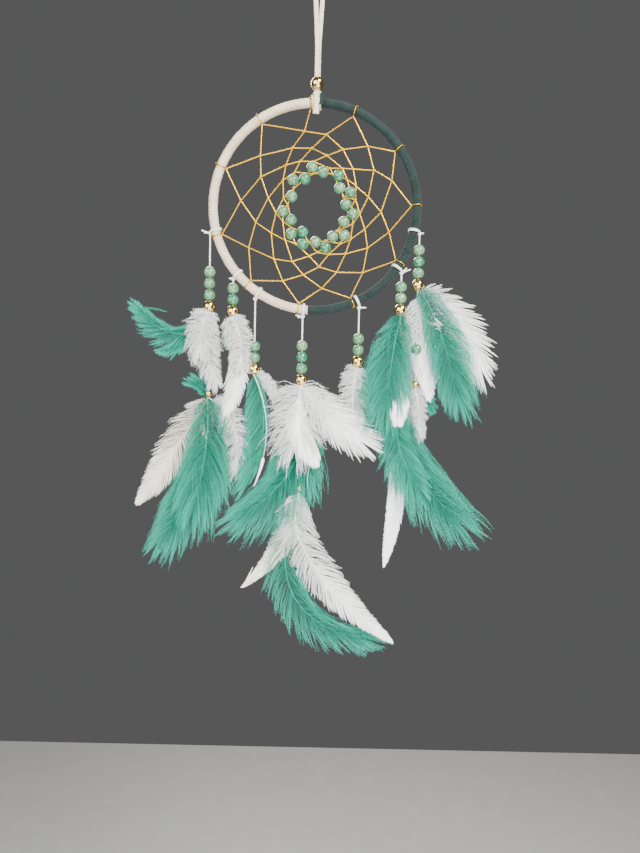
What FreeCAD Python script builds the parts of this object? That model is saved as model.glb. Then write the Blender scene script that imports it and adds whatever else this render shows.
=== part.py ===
"""Dream catcher: a wrapped ring with a knotted thread web, and seven beaded feather pendants.

Millimetres, +Z up, +X to the viewer's right, +Y away from the viewer, towards the wall.
The origin is the axis of the hook that the hanging loop bears on.  The ring lies in the
plane y = 0, straight below the hook, and every pendant hangs plumb from the ring.
"""
import FreeCAD, Part
import math
import os

Vector = FreeCAD.Vector
PLUMB = Vector(0, 0, 1)
TO_WALL = Vector(0, 1, 0)

# Hanging loop: one flat lace folded over a hook, both strands through a slider bead.
hook_radius = 3.0
lace_thickness = 1.5
lace_width = 3.0
hook_to_ring_centre = 160.0
strands_meet_drop = 57.0
lace_end_gap = 0.4
slider_diameter = 8.8
slider_height = 8.0
slider_bore_clearance = 0.23
slider_rest_gap = 0.55

# Hitch that ties the lace to the ring.
hitch_length = 6.0
hitch_wall = 1.4
hitch_clearance = 0.35
hitch_knot_radius = 3.1
tail_width = 3.4
tail_thickness = 1.3
tail_seat = 0.4
cream_tail_edge = 0.9
cream_tail_length = 14.0
green_tail_edge = 1.1
green_tail_length = 7.0

# Ring: steel wire, wrapped in lace, cream on the left and green on the right.
ring_radius = 68.5
ring_wire_radius = 1.5
wrap_thickness = 1.5
wrap_gap_half_angle = 2.4
wraps_meet_angle = 266.5
wraps_meet_gap = 0.2

# Web: one continuous thread, knotted row by row towards the middle.
web_thread_radius = 0.5
web_knot_radius = 0.85
web_still_radius = 28.0
drawn_anchor_radius = 65.0
drawn_stone_diameter = 7.7

# Pendants.
stone_diameter = 7.7
stone_gap = 0.1
stone_ring_clearance = 0.3
stone_bore_clearance = 0.25
gold_bead_diameter = 8.6
gold_bead_height = 7.2
gold_bead_bore_radius = 2.2
crimp_bead_diameter = 4.8
crimp_bead_wall = 0.4
crimp_bead_roof = 0.6
pendant_thread_radius = 0.6
lower_thread_insert = 0.8
loop_clearance = 0.3
knot_radius = 1.3

# Feathers: a flat leaf-shaped blade with a round quill.
quill_radius = 0.4
quill_joint_radius = 0.48
quill_clearance = 0.2
quill_insert = 2.4
quill_end_gap = 0.3
quill_bare = 3.0
quill_overlap = 6.0
blade_thickness = 0.5
straight_rim = 0.05

wrap_outer_radius = ring_wire_radius + wrap_thickness
slider_bore_radius = math.hypot(lace_thickness, lace_width / 2) + slider_bore_clearance
hitch_top = wrap_outer_radius + hitch_clearance + hitch_wall + hitch_knot_radius
crimp_mouth_radius = crimp_bead_diameter / 2 - crimp_bead_wall
loop_circle_radius = wrap_outer_radius + loop_clearance + pendant_thread_radius
ring_centre = Vector(0, 0, -hook_to_ring_centre)
anchor_radius = ring_radius - wrap_outer_radius - web_thread_radius

# The web thread's route: (degrees anticlockwise from +X, drawn distance from the ring's centre),
# in the order the thread is knotted.  The first row is tied round the ring.  Every later knot
# sits on the stretch that was strung eleven knots before it, and pulls that stretch inwards.
WEB_ROWS = [
    [(93.6, 65), (124, 65), (158, 65), (197, 65), (229.5, 65), (261.5, 65),
     (292.8, 65), (328.3, 65), (2, 65), (35.5, 65), (68, 65)],
    [(99, 50.5), (138, 50), (176, 50), (212, 52), (247, 53.5), (276, 54),
     (308, 54), (343, 52.5), (20, 54.5), (50, 53.5), (82, 48.5)],
    [(112, 42), (152, 41.5), (195, 41), (232, 44), (261, 45.5), (290, 45.5),
     (324, 44.5), (357, 44.5), (33, 46.5), (65, 42.5), (94, 39)],
    [(126, 34), (170, 32), (211, 34), (248, 39), (275, 39.5), (305, 37),
     (338, 36.5), (12, 36.5), (46, 36), (78, 35), (109, 32)],
    [(141, 28), (189, 26.5), (228, 29.5), (264, 32.5), (288, 32.5), (320, 32),
     (353, 30.5), (28, 31), (56, 31.5), (93, 30.2), (121, 27)],
    [(165, 22), (204, 23.5), (243, 27.5), (274, 29.8), (307, 29.5), (338, 27.7),
     (12, 27.7), (42, 28.4), (70, 27.7), (95, 22.3), (139, 19)],
    [(175, 18.5), (219, 21), (260, 23.3), (289, 23.4), (314, 21.5), (1, 24.4),
     (21, 20.4), (62, 24.9), (87.5, 22.8)],
]
# Stones threaded on the web: (knot before, knot after, degrees, drawn distance).
WEB_STONES = [
    (53, 64, 95, 26.3), (73, 74, 77.8, 24), (62, 73, 53.7, 26.3), (72, 73, 38.6, 21),
    (72, 62, 23.2, 25.9), (71, 72, 6.3, 20.9), (60, 71, 351.6, 26), (70, 71, 335, 21.7),
    (59, 70, 318, 27.1), (69, 70, 302.6, 22.7), (58, 69, 286.1, 27.8), (68, 69, 272, 22.9),
    (57, 68, 252.6, 25.7), (67, 68, 244.4, 18.3), (67, 57, 228.9, 23.7), (66, 67, 208.7, 18.1),
    (66, 56, 188.2, 21.7), (65, 66, 156.4, 17.2), (54, 65, 130.2, 23.1), (64, 65, 110.9, 19.9),
]
knots_per_row = len(WEB_ROWS[0])


class Pendant:
    """One thread with its stones, gold bead and, on some, a lower tier under a crimp bead.

    free_thread is the bare thread between the ring and the first stone; it is longer where the
    stone would meet the ring.  lower_thread is the bare thread between the gold bead and the
    crimp bead, and lower_stone_drop the way from the gold bead's foot to the middle of a stone
    on the lower thread.
    """

    def __init__(self, number, ring_angle, free_thread, stones, lower_thread=0.0, lower_stone_drop=0.0):
        self.number = number
        self.angle = math.radians(ring_angle)
        self.x = (ring_radius + loop_circle_radius) * math.cos(self.angle)
        self.start_z = ring_centre.z + (ring_radius + loop_circle_radius) * math.sin(self.angle)
        self.stones = stones
        side = ring_radius + wrap_outer_radius + stone_ring_clearance + stone_diameter / 2
        beside_ring = ring_centre.z - math.sqrt(side**2 - self.x**2)
        first_stone_z = min(self.start_z - free_thread - stone_diameter / 2, beside_ring)
        stack = (stones - 0.5) * stone_diameter + stones * stone_gap
        self.bead_z = first_stone_z - stack - gold_bead_height / 2
        foot = self.bead_z - gold_bead_height / 2
        self.crimp_z = foot - lower_thread - crimp_bead_diameter / 2 if lower_thread else None
        self.lower_stone_z = foot - lower_stone_drop if lower_stone_drop else None

    def bead_bottom(self):
        """The middle of the gold bead's foot."""
        return Vector(self.x, 0, self.bead_z - gold_bead_height / 2)

    def crimp_bottom(self):
        """The lowest point of the crimp bead's ball."""
        return Vector(self.x, 0, self.crimp_z - crimp_bead_diameter / 2)


# number, place on the ring in degrees, free thread, stones, then the lower tier's lengths.
PENDANTS = [
    Pendant(1, 194.0, 23.0, 3, lower_thread=53.0),
    Pendant(2, 221.4, 3.3, 2),
    Pendant(3, 237.2, 28.9, 2),
    Pendant(4, 264.5, 16.7, 3, lower_thread=68.3),
    Pendant(5, 295.6, 17.9, 2),
    Pendant(6, 325.1, 6.4, 2, lower_thread=58.5),
    Pendant(7, 347.9, 7.9, 3, lower_thread=60.8, lower_stone_drop=39.8),
]


class Feather:
    """A feather's tip from its root (right, up), sideways bow, width, forward lean and quill bearing."""

    def __init__(self, tip, bow, width, lean, bearing):
        self.tip = Vector(tip[0], 0, tip[1])
        self.bow = bow
        self.width = width
        self.lean = lean
        self.bearing = math.radians(bearing)


# Feathers by node: (pendant, "upper" or "lower", colour) and the feathers tied there.
FEATHERS = [
    (1, "upper", "green", [Feather((-57, 7), 21, 13, 6, 180)]),
    (1, "upper", "white", [Feather((-8, -48), -5, 8, -4, 150), Feather((8.5, -48), 2.5, 7, 2, 0)]),
    (1, "lower", "green", [Feather((-19, -80), 6.5, 24, 5, 270), Feather((-41, -112), 8, 18, -3, 90)]),
    (1, "lower", "white", [Feather((-48, -72), -4, 13, 1.5, 180), Feather((15, -59), 10, 7, 1.5, 0)]),
    (2, "upper", "white", [Feather((-3, -62), 5.5, 10, 4, 270)]),
    (2, "upper", "green", [Feather((-3.5, -19), -1, 5, -5, 90)]),
    (3, "upper", "green", [Feather((-9, -73), 6, 10, 3, 205)]),
    (3, "upper", "white", [Feather((4, -70), 6, 6, -4, 25)]),
    (4, "upper", "white", [Feather((36, -39), 4, 15, 7, 328), Feather((-13, -24), -4, 9, 16, 212)]),
    (4, "upper", "green", [Feather((9, -67), 4, 8, -3, 32), Feather((-50, -97), 11, 9, 3, 180)]),
    (4, "lower", "white", [Feather((68, -103), -19, 17, 5, 300)]),
    (4, "lower", "green", [Feather((71, -113), -40, 14, -4, 90)]),
    (4, "lower", "cream", [Feather((-39, -68), 6, 9, -1.5, 180)]),
    (5, "upper", "white", [Feather((0, -38), 0, 9, 2, 270)]),
    (6, "upper", "green", [Feather((-13, -69), -5, 17, 7, 190)]),
    (6, "upper", "white", [Feather((3, -62), 0.8, 5, -7, 0)]),
    (6, "lower", "green", [Feather((58, -86), -19, 18, 5, 290)]),
    (6, "lower", "white", [Feather((-6, -114), 6, 8, -4, 90)]),
    (7, "upper", "green", [Feather((35, -82), 10.5, 20, 6, 328)]),
    (7, "upper", "white", [Feather((52, -52), 12.5, 12, -6, 32), Feather((11, -71), 3, 7, 2, 0)]),
    (7, "lower", "white", [Feather((4.5, -34), 1, 6, 3, 270)]),
    (7, "lower", "green", [Feather((12, -17), 2, 4, -5, 60)]),
]


def export(name, shape):
    """Write one node, and print its solids and volume."""
    shape.exportStep("parts/%s.step" % name)
    print("%-28s solids %3d  volume %9.1f  valid %s" % (name, len(shape.Solids), shape.Volume, shape.isValid()))


def cylinder(radius, start, end):
    """A round bar from one point to another."""
    run = end.sub(start)
    return Part.makeCylinder(radius, run.Length, start, run)


def ring_point(radius, degrees):
    """A point in the ring's plane."""
    angle = math.radians(degrees)
    return ring_centre.add(Vector(radius * math.cos(angle), 0, radius * math.sin(angle)))


def drilled_ball(diameter, bore_radius, centre, direction):
    """A round stone with a hole through it."""
    ball = Part.makeSphere(diameter / 2, centre)
    way = Vector(direction).normalize().multiply(diameter)
    return ball.cut(cylinder(bore_radius, centre.sub(way), centre.add(way)))


def barrel_bead(diameter, height, bore_radius, centre):
    """A ball with flat ends and a wide vertical hole."""
    ball = Part.makeSphere(diameter / 2, centre)
    foot = centre.sub(Vector(0, 0, height / 2))
    slab = Part.makeCylinder(diameter, height, foot)
    return ball.common(slab).cut(Part.makeCylinder(bore_radius, height, foot))


def ring_tangent(degrees):
    """The direction along the ring at one place on it."""
    angle = math.radians(degrees)
    return Vector(-math.sin(angle), 0, math.cos(angle))


def ring_hoop(circle_radius, tube_radius, degrees):
    """A small round hoop of thread about the ring's own section, at one place on the ring."""
    return Part.makeTorus(circle_radius, tube_radius, ring_point(ring_radius, degrees), ring_tangent(degrees))


def hanging_lace():
    """The lace over the hook: a half turn, two strands that meet, then run down side by side."""
    inner = hook_radius
    outer = hook_radius + lace_thickness
    meet_z = -strands_meet_drop
    end_z = ring_centre.z + ring_radius + hitch_top + lace_end_gap
    edges = [
        Part.Arc(Vector(outer, 0, 0), Vector(0, 0, outer), Vector(-outer, 0, 0)).toShape(),
        Part.LineSegment(Vector(-outer, 0, 0), Vector(-lace_thickness, 0, meet_z)).toShape(),
        Part.LineSegment(Vector(-lace_thickness, 0, meet_z), Vector(-lace_thickness, 0, end_z)).toShape(),
        Part.LineSegment(Vector(-lace_thickness, 0, end_z), Vector(lace_thickness, 0, end_z)).toShape(),
        Part.LineSegment(Vector(lace_thickness, 0, end_z), Vector(lace_thickness, 0, meet_z)).toShape(),
        Part.LineSegment(Vector(lace_thickness, 0, meet_z), Vector(outer, 0, 0)).toShape(),
    ]
    body = Part.Face(Part.Wire(edges)).extrude(TO_WALL * lace_width)
    gap = [
        Part.Arc(Vector(inner, 0, 0), Vector(0, 0, inner), Vector(-inner, 0, 0)).toShape(),
        Part.LineSegment(Vector(-inner, 0, 0), Vector(0, 0, meet_z)).toShape(),
        Part.LineSegment(Vector(0, 0, meet_z), Vector(inner, 0, 0)).toShape(),
    ]
    eye = Part.Face(Part.Wire(gap)).extrude(TO_WALL * lace_width)
    lace = body.cut(eye)
    lace.translate(Vector(0, -lace_width / 2, 0))
    return lace


def slider_bead():
    """The gold bead that both strands pass through, resting just above the hitch."""
    foot = ring_centre.z + ring_radius + hitch_top + slider_rest_gap
    centre = Vector(0, 0, foot + slider_height / 2)
    return barrel_bead(slider_diameter, slider_height, slider_bore_radius, centre)


def hitch():
    """A sleeve of lace round the ring's top, the knot above it and two cut tails in front."""
    middle = ring_point(ring_radius, 90)
    inner = wrap_outer_radius + hitch_clearance
    outer = inner + hitch_wall
    half = Vector(hitch_length / 2, 0, 0)
    sleeve = cylinder(outer, middle.sub(half), middle.add(half))
    knot = Part.makeSphere(hitch_knot_radius, middle.add(Vector(0, 0, outer)))
    front = middle.y - outer - tail_thickness + tail_seat
    top = middle.z + outer
    cream_tail = Part.makeBox(tail_width, tail_thickness, cream_tail_length,
                              Vector(cream_tail_edge - tail_width, front, top - cream_tail_length))
    green_tail = Part.makeBox(tail_width, tail_thickness, green_tail_length,
                              Vector(green_tail_edge, front, top - green_tail_length))
    tie = Part.makeBox(2 * tail_width, -front, 2 * tail_thickness,
                       Vector(-tail_width, front, top - 2 * tail_thickness))
    solid = sleeve.fuse([knot, cream_tail, green_tail, tie])
    bore = cylinder(inner, middle.sub(half * 2), middle.add(half * 2))
    return solid.cut(bore)


def ring_wire():
    """The steel wire ring."""
    return Part.makeTorus(ring_radius, ring_wire_radius, ring_centre, TO_WALL)


def wrap(start_angle, end_angle):
    """One lace wrap: the skin of the ring between two angles."""
    rim = Part.makeCircle(wrap_outer_radius, ring_point(ring_radius, start_angle), ring_tangent(start_angle))
    section = Part.Face(Part.Wire(rim))
    return section.revolve(ring_centre, Vector(0, -1, 0), end_angle - start_angle).cut(ring_wire())


def web_point(degrees, drawn):
    """A place on the web.

    The stones' places and the knots among them grow with the stones; further out the web
    stretches until its outer row reaches the ring.
    """
    scale = stone_diameter / drawn_stone_diameter
    share = max(0.0, (drawn - web_still_radius) / (drawn_anchor_radius - web_still_radius))
    radius = drawn * scale + share * (anchor_radius - drawn_anchor_radius * scale)
    return ring_point(radius, degrees)


def web_knots():
    """Every knot of the web in order."""
    return [web_point(degrees, drawn) for row in WEB_ROWS for degrees, drawn in row]


def web_links(knots):
    """The stretches of thread between knots, as pairs of knot numbers."""
    links = []
    for number in range(len(knots) - 1):
        middle = number + knots_per_row
        if middle < len(knots):
            links.append((number, middle))
            links.append((middle, number + 1))
        else:
            links.append((number, number + 1))
    return links


def web_runs(knots):
    """The straight runs of thread: a stretch that carries a stone bends at the stone's middle."""
    stone_on = {frozenset((before, after)): web_point(degrees, drawn)
                for before, after, degrees, drawn in WEB_STONES}
    runs = []
    for before, after in web_links(knots):
        stone = stone_on.get(frozenset((before, after)))
        if stone is None:
            runs.append((knots[before], knots[after]))
        else:
            runs.append((knots[before], stone))
            runs.append((stone, knots[after]))
    return runs


def web_thread(knots):
    """The whole web as one solid: its stretches, its knots and a turn round the ring at each anchor."""
    pieces = [cylinder(web_thread_radius, start, end) for start, end in web_runs(knots)]
    pieces += [Part.makeSphere(web_knot_radius, knot) for knot in knots]
    turn_radius = wrap_outer_radius + web_thread_radius
    pieces += [ring_hoop(turn_radius, web_thread_radius, degrees) for degrees, drawn in WEB_ROWS[0]]
    return pieces[0].fuse(pieces[1:])


def web_stones(knots):
    """The drilled stones on the web's inner thread."""
    bore_radius = web_thread_radius + stone_bore_clearance
    stones = []
    for before, after, degrees, drawn in WEB_STONES:
        way = knots[after].sub(knots[before])
        stones.append(drilled_ball(stone_diameter, bore_radius, web_point(degrees, drawn), way))
    return Part.makeCompound(stones)


def pendant_thread(pendant):
    """A loop round the ring, a knot and the thread down into the gold bead."""
    degrees = math.degrees(pendant.angle)
    start = Vector(pendant.x, 0, pendant.start_z)
    loop = ring_hoop(loop_circle_radius, pendant_thread_radius, degrees)
    knot = Part.makeSphere(knot_radius, start.sub(Vector(0, 0, knot_radius)))
    end = Vector(pendant.x, 0, pendant.bead_z)
    line = cylinder(pendant_thread_radius, start, end)
    keep_out = ring_keep_out()
    return loop.fuse([knot, line]).cut(keep_out)


def ring_keep_out():
    """The room that the wrapped ring needs inside a pendant's knot."""
    return Part.makeTorus(ring_radius, wrap_outer_radius + loop_clearance, ring_centre, TO_WALL)


def pendant_stones(pendant):
    """The stones stacked on the gold bead."""
    pitch = stone_diameter + stone_gap
    first = pendant.bead_z + gold_bead_height / 2 + stone_gap + stone_diameter / 2
    centres = [Vector(pendant.x, 0, first + pitch * place) for place in range(pendant.stones)]
    return Part.makeCompound([pendant_stone(at) for at in centres])


def pendant_stone(centre):
    """One stone on a pendant's thread."""
    return drilled_ball(stone_diameter, pendant_thread_radius + stone_bore_clearance, centre, PLUMB)


def gold_bead(pendant):
    """The bead that holds the upper feathers."""
    centre = Vector(pendant.x, 0, pendant.bead_z)
    return barrel_bead(gold_bead_diameter, gold_bead_height, gold_bead_bore_radius, centre)


def lower_thread(pendant):
    """The thread between the gold bead and the crimp bead."""
    top = pendant.bead_bottom().add(Vector(0, 0, lower_thread_insert))
    return cylinder(pendant_thread_radius, top, Vector(pendant.x, 0, pendant.crimp_z))


def crimp_bead(pendant):
    """A small gold bead pinched on the thread, open below for the quills."""
    centre = Vector(pendant.x, 0, pendant.crimp_z)
    ball = Part.makeSphere(crimp_bead_diameter / 2, centre)
    upper = cylinder(pendant_thread_radius, centre, centre.add(Vector(0, 0, crimp_bead_diameter)))
    mouth_top = centre.sub(Vector(0, 0, crimp_bead_roof))
    mouth = cylinder(crimp_mouth_radius, centre.sub(Vector(0, 0, crimp_bead_diameter)), mouth_top)
    return ball.cut(upper).cut(mouth)


def rim_edge(start, middle, end):
    """One long edge of a blade: an arc, or a straight line where the middle is in line."""
    offset = middle.distanceToLine(start, end.sub(start))
    if offset < straight_rim:
        return Part.LineSegment(start, end).toShape()
    return Part.Arc(start, middle, end).toShape()


def feather(shape, root, insert, circle_radius):
    """A quill that stands in the bead, and a leaf-shaped blade below it, leaning forward or back."""
    side = Vector(math.cos(shape.bearing), math.sin(shape.bearing), 0) * circle_radius
    quill_top = root.add(side).add(Vector(0, 0, insert))
    blade_root = root.add(side).sub(Vector(0, 0, quill_bare))
    quill = cylinder(quill_radius, quill_top, blade_root)
    tip = blade_root.add(shape.tip).add(Vector(0, 0, quill_bare))
    chord = tip.sub(blade_root)
    across = Vector(-chord.z, 0, chord.x).normalize()
    middle = blade_root.add(chord * 0.5).add(across * shape.bow)
    rim_a = middle.add(across * (shape.width / 2))
    rim_b = middle.sub(across * (shape.width / 2))
    outline = Part.Wire([rim_edge(blade_root, rim_a, tip), rim_edge(tip, rim_b, blade_root)])
    blade = Part.Face(outline).extrude(TO_WALL * blade_thickness)
    blade.translate(Vector(0, -blade_thickness / 2, 0))
    blade.rotate(blade_root, Vector(1, 0, 0), -shape.lean)
    joint = Part.makeSphere(quill_joint_radius, blade_root)
    spine = cylinder(quill_radius, blade_root, blade_root.add(quill_way(shape, middle, blade_root)))
    return quill.fuse([joint, spine, blade])


def quill_way(shape, middle, blade_root):
    """A short way from the blade's root along its leaning surface."""
    way = middle.sub(blade_root).normalize() * quill_overlap
    turn = FreeCAD.Rotation(Vector(1, 0, 0), -shape.lean)
    return turn.multVec(way)


def feather_node(pendant, tier, shapes):
    """All the feathers of one colour in one tier."""
    if tier == "upper":
        root = pendant.bead_bottom()
        insert = quill_insert
        mouth_radius = gold_bead_bore_radius
    else:
        root = pendant.crimp_bottom()
        insert = crimp_bead_diameter / 2 - crimp_bead_roof - quill_end_gap
        mouth_radius = crimp_mouth_radius
    circle_radius = mouth_radius - quill_radius - quill_clearance
    return Part.makeCompound([feather(shape, root, insert, circle_radius) for shape in shapes])


def main():
    """Write every node."""
    os.makedirs("parts", exist_ok=True)
    knots = web_knots()
    export("hanging_lace", hanging_lace())
    export("slider_bead", slider_bead())
    export("lace_hitch", hitch())
    export("ring_wire", ring_wire())
    export("cream_wrap", wrap(90 + wrap_gap_half_angle, wraps_meet_angle - wraps_meet_gap / 2))
    export("green_wrap", wrap(wraps_meet_angle + wraps_meet_gap / 2, 450 - wrap_gap_half_angle))
    export("web_thread", web_thread(knots))
    export("web_stones", web_stones(knots))
    for pendant in PENDANTS:
        export("thread_%d" % pendant.number, pendant_thread(pendant))
        export("stones_%d" % pendant.number, pendant_stones(pendant))
        export("gold_bead_%d" % pendant.number, gold_bead(pendant))
        if pendant.crimp_z is not None:
            export("lower_thread_%d" % pendant.number, lower_thread(pendant))
            export("crimp_bead_%d" % pendant.number, crimp_bead(pendant))
        if pendant.lower_stone_z is not None:
            stone = pendant_stone(Vector(pendant.x, 0, pendant.lower_stone_z))
            export("lower_stone_%d" % pendant.number, stone)
    for number, tier, colour, shapes in FEATHERS:
        export("%s_feathers_%d_%s" % (colour, number, tier), feather_node(PENDANTS[number - 1], tier, shapes))
    fold_radius = hook_radius + lace_thickness / 2
    print("cord radii in mm: hanging lace %.2f round the hook, all other threads straight" % fold_radius)


main()
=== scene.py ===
"""Dream catcher: looks for the wrapped ring, its gold thread web, and the beaded feather pendants."""
import logging
import math
from dataclasses import dataclass
from enum import Enum
from typing import Any, Sequence

import bpy
import numpy as np
from mathutils import Matrix, Vector


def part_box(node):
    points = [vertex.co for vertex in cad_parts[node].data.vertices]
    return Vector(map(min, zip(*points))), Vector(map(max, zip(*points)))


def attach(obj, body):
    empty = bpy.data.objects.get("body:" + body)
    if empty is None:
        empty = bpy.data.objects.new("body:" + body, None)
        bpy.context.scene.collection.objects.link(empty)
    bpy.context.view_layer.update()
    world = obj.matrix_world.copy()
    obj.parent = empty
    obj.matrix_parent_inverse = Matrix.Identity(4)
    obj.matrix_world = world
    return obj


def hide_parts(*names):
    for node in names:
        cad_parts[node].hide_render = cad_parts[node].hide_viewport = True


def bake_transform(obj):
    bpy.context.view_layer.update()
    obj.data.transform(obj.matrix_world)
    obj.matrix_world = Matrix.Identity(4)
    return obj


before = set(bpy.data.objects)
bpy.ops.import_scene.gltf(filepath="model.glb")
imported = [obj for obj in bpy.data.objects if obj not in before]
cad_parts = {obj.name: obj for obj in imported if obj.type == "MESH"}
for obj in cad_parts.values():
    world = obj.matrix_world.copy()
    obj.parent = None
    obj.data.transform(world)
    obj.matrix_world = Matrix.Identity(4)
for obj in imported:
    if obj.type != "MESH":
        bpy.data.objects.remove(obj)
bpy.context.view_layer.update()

LOG = logging.getLogger("dream_catcher")
MM = 0.001
TURN = 2 * math.pi
CREASE = math.radians(40)
BACK = np.array([0.0, 1.0, 0.0])
FRONT = np.array([0.0, -1.0, 0.0])
UPRIGHT = (0, 0, 1)
Array = np.ndarray
Colour = tuple[float, float, float]
Stops = Sequence[tuple[float, Colour]]


# ---------------------------------------------------------------- shader maths


class Socket:
    """A node socket that can be used in Python expressions."""

    def __init__(self, shader: "Shader", link: Any) -> None:
        """Wrap an output socket.

        Args:
            shader: the material's node builder.
            link: the output socket.
        """
        self.shader = shader
        self.link = link

    def _math(self, operation: str, first: Any, second: Any) -> "Socket":
        """Add one Math node."""
        return self.shader.node("ShaderNodeMath", {"operation": operation}, {0: first, 1: second})

    def __add__(self, other: Any) -> "Socket":
        """Sum."""
        return self._math("ADD", self, other)

    __radd__ = __add__

    def __mul__(self, other: Any) -> "Socket":
        """Product."""
        return self._math("MULTIPLY", self, other)

    __rmul__ = __mul__


class Shader:
    """Builds one material's nodes round a Principled shader."""

    def __init__(self, name: str, constants: dict[str, Any]) -> None:
        """Start a material.

        Args:
            name: the material's name.
            constants: values of Principled sockets that are the same all over.
        """
        self.material = bpy.data.materials.new(name)
        self.material.use_nodes = True
        self.tree = self.material.node_tree
        self.principled = self.tree.nodes["Principled BSDF"]
        for socket, value in constants.items():
            self.principled.inputs[socket].default_value = value

    def node(self, kind: str, settings: dict[str, Any], values: dict[Any, Any], output: Any = 0) -> Socket:
        """Add a node.

        Args:
            kind: the node's type name.
            settings: attributes set first, a ramp's stops among them.
            values: numbers, colours or links for its sockets.
            output: the output wanted, by name or number.

        Returns:
            The output, ready for expressions.
        """
        made = self.tree.nodes.new(kind)
        for key, value in settings.items():
            if key == "stops":
                self._stops(made.color_ramp, value)
            else:
                setattr(made, key, value)
        for key, value in values.items():
            if isinstance(value, Socket):
                self.tree.links.new(value.link, made.inputs[key])
            else:
                made.inputs[key].default_value = value
        return Socket(self, made.outputs[output])

    @staticmethod
    def _stops(ramp: Any, stops: Stops) -> None:
        """Set a colour ramp's stops."""
        while len(ramp.elements) < len(stops):
            ramp.elements.new(0.5)
        for element, (place, colour) in zip(ramp.elements, stops):
            element.position = place
            element.color = (*colour, 1)

    def noise(self, scale: float, detail: float = 3.0, roughness: float = 0.5) -> Socket:
        """Noise over the object's own coordinates; scale is in waves per metre."""
        place = self.node("ShaderNodeTexCoord", {}, {}, "Object")
        values = {"Vector": place, "Scale": scale, "Detail": detail, "Roughness": roughness}
        return self.node("ShaderNodeTexNoise", {}, values, "Fac")

    def attribute(self, name: str, output: str = "Fac") -> Socket:
        """An attribute stored on the mesh."""
        return self.node("ShaderNodeAttribute", {"attribute_name": name}, {}, output)

    def ramp(self, value: Socket, stops: Stops) -> Socket:
        """Turn a number into a colour."""
        return self.node("ShaderNodeValToRGB", {"stops": stops}, {0: value}, "Color")

    def mix(self, share: Any, first: Any, second: Any, blend: str = "MIX") -> Socket:
        """Mix two colours.

        Args:
            share: how much of the second, a number or a link.
            first: a colour or a link.
            second: a colour or a link.
            blend: the blend type.

        Returns:
            The mixed colour.
        """
        values = {0: share, 6: self._colour(first), 7: self._colour(second)}
        return self.node("ShaderNodeMix", {"data_type": "RGBA", "blend_type": blend}, values, 2)

    @staticmethod
    def _colour(value: Any) -> Any:
        """Give a plain colour its alpha."""
        return value if isinstance(value, Socket) else (*value, 1)

    def bump(self, height: Socket, strength: float, distance: float) -> None:
        """Feed a height into the normal."""
        values = {"Height": height, "Strength": strength, "Distance": distance}
        self.feed("Normal", self.node("ShaderNodeBump", {}, values, "Normal"))

    def feed(self, socket: str, value: Socket) -> None:
        """Link a value into the Principled shader."""
        self.tree.links.new(value.link, self.principled.inputs[socket])


# ---------------------------------------------------------------- finishes
# Noise scales are in waves per metre, and bump depths in metres.


class Dye(Enum):
    """The feathers' colours."""

    GREEN = "green"
    WHITE = "white"
    CREAM = "cream"


@dataclass(frozen=True)
class Suede:
    """Flat suede lace: a soft nap with lighter and darker fibres."""

    name: str
    dark: Colour
    light: Colour
    nap_scale: float = 2600.0
    patch_scale: float = 160.0
    nap_share: float = 0.65
    nap_depth: float = 0.25 * MM

    def make(self) -> bpy.types.Material:
        """Build the material."""
        shader = Shader(self.name, {"Roughness": 0.92, "Sheen Weight": 0.1, "Sheen Roughness": 0.5,
                                    "Specular IOR Level": 0.2})
        nap = shader.noise(self.nap_scale, 4.0, 0.65)
        patch = shader.noise(self.patch_scale, 2.0)
        tone = nap * self.nap_share + patch * (1 - self.nap_share)
        shader.feed("Base Color", shader.ramp(tone, [(0.3, self.dark), (0.68, self.light)]))
        shader.bump(nap, 0.5, self.nap_depth)
        return shader.material


@dataclass(frozen=True)
class Gold:
    """Polished gold-coloured plating with light scuffs."""

    name: str
    base: Colour
    roughness: float
    scuff_scale: float = 900.0
    scuff_shade: float = 0.8
    dent_scale: float = 350.0
    dent_depth: float = 0.4 * MM

    def make(self) -> bpy.types.Material:
        """Build the material."""
        shader = Shader(self.name, {"Metallic": 1.0, "Coat Weight": 0.3, "Coat Roughness": 0.08})
        scuff = shader.noise(self.scuff_scale, 3.0)
        worn = tuple(channel * self.scuff_shade for channel in self.base)
        shader.feed("Base Color", shader.ramp(scuff, [(0.3, worn), (0.62, self.base)]))
        shader.feed("Roughness", scuff * 0.16 + (self.roughness - 0.08))
        shader.bump(shader.noise(self.dent_scale, 1.0), 0.12, self.dent_depth)
        return shader.material


@dataclass(frozen=True)
class MetallicThread:
    """Twisted gold thread: bright foil plies, with painted shade darkening the grooves between them."""

    name: str
    # groove is the painted shade colour put in the grooves between the plies.
    groove: Colour
    ply: Colour
    glint_scale: float = 3200.0

    def make(self) -> bpy.types.Material:
        """Build the material."""
        shader = Shader(self.name, {"Metallic": 0.9, "Specular Tint": (1.0, 0.82, 0.4, 1.0)})
        glint = shader.noise(self.glint_scale, 2.0)
        crown = shader.attribute("crown")
        # Painted shade: the base colour darkens where crown is low, in the grooves between plies; glint noise
        # adds to the tone.
        tone = crown * 0.7 + glint * 0.4
        shader.feed("Base Color", shader.ramp(tone, [(0.12, self.groove), (0.7, self.ply)]))
        shader.feed("Roughness", glint * 0.25 + 0.2)
        return shader.material


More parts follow.
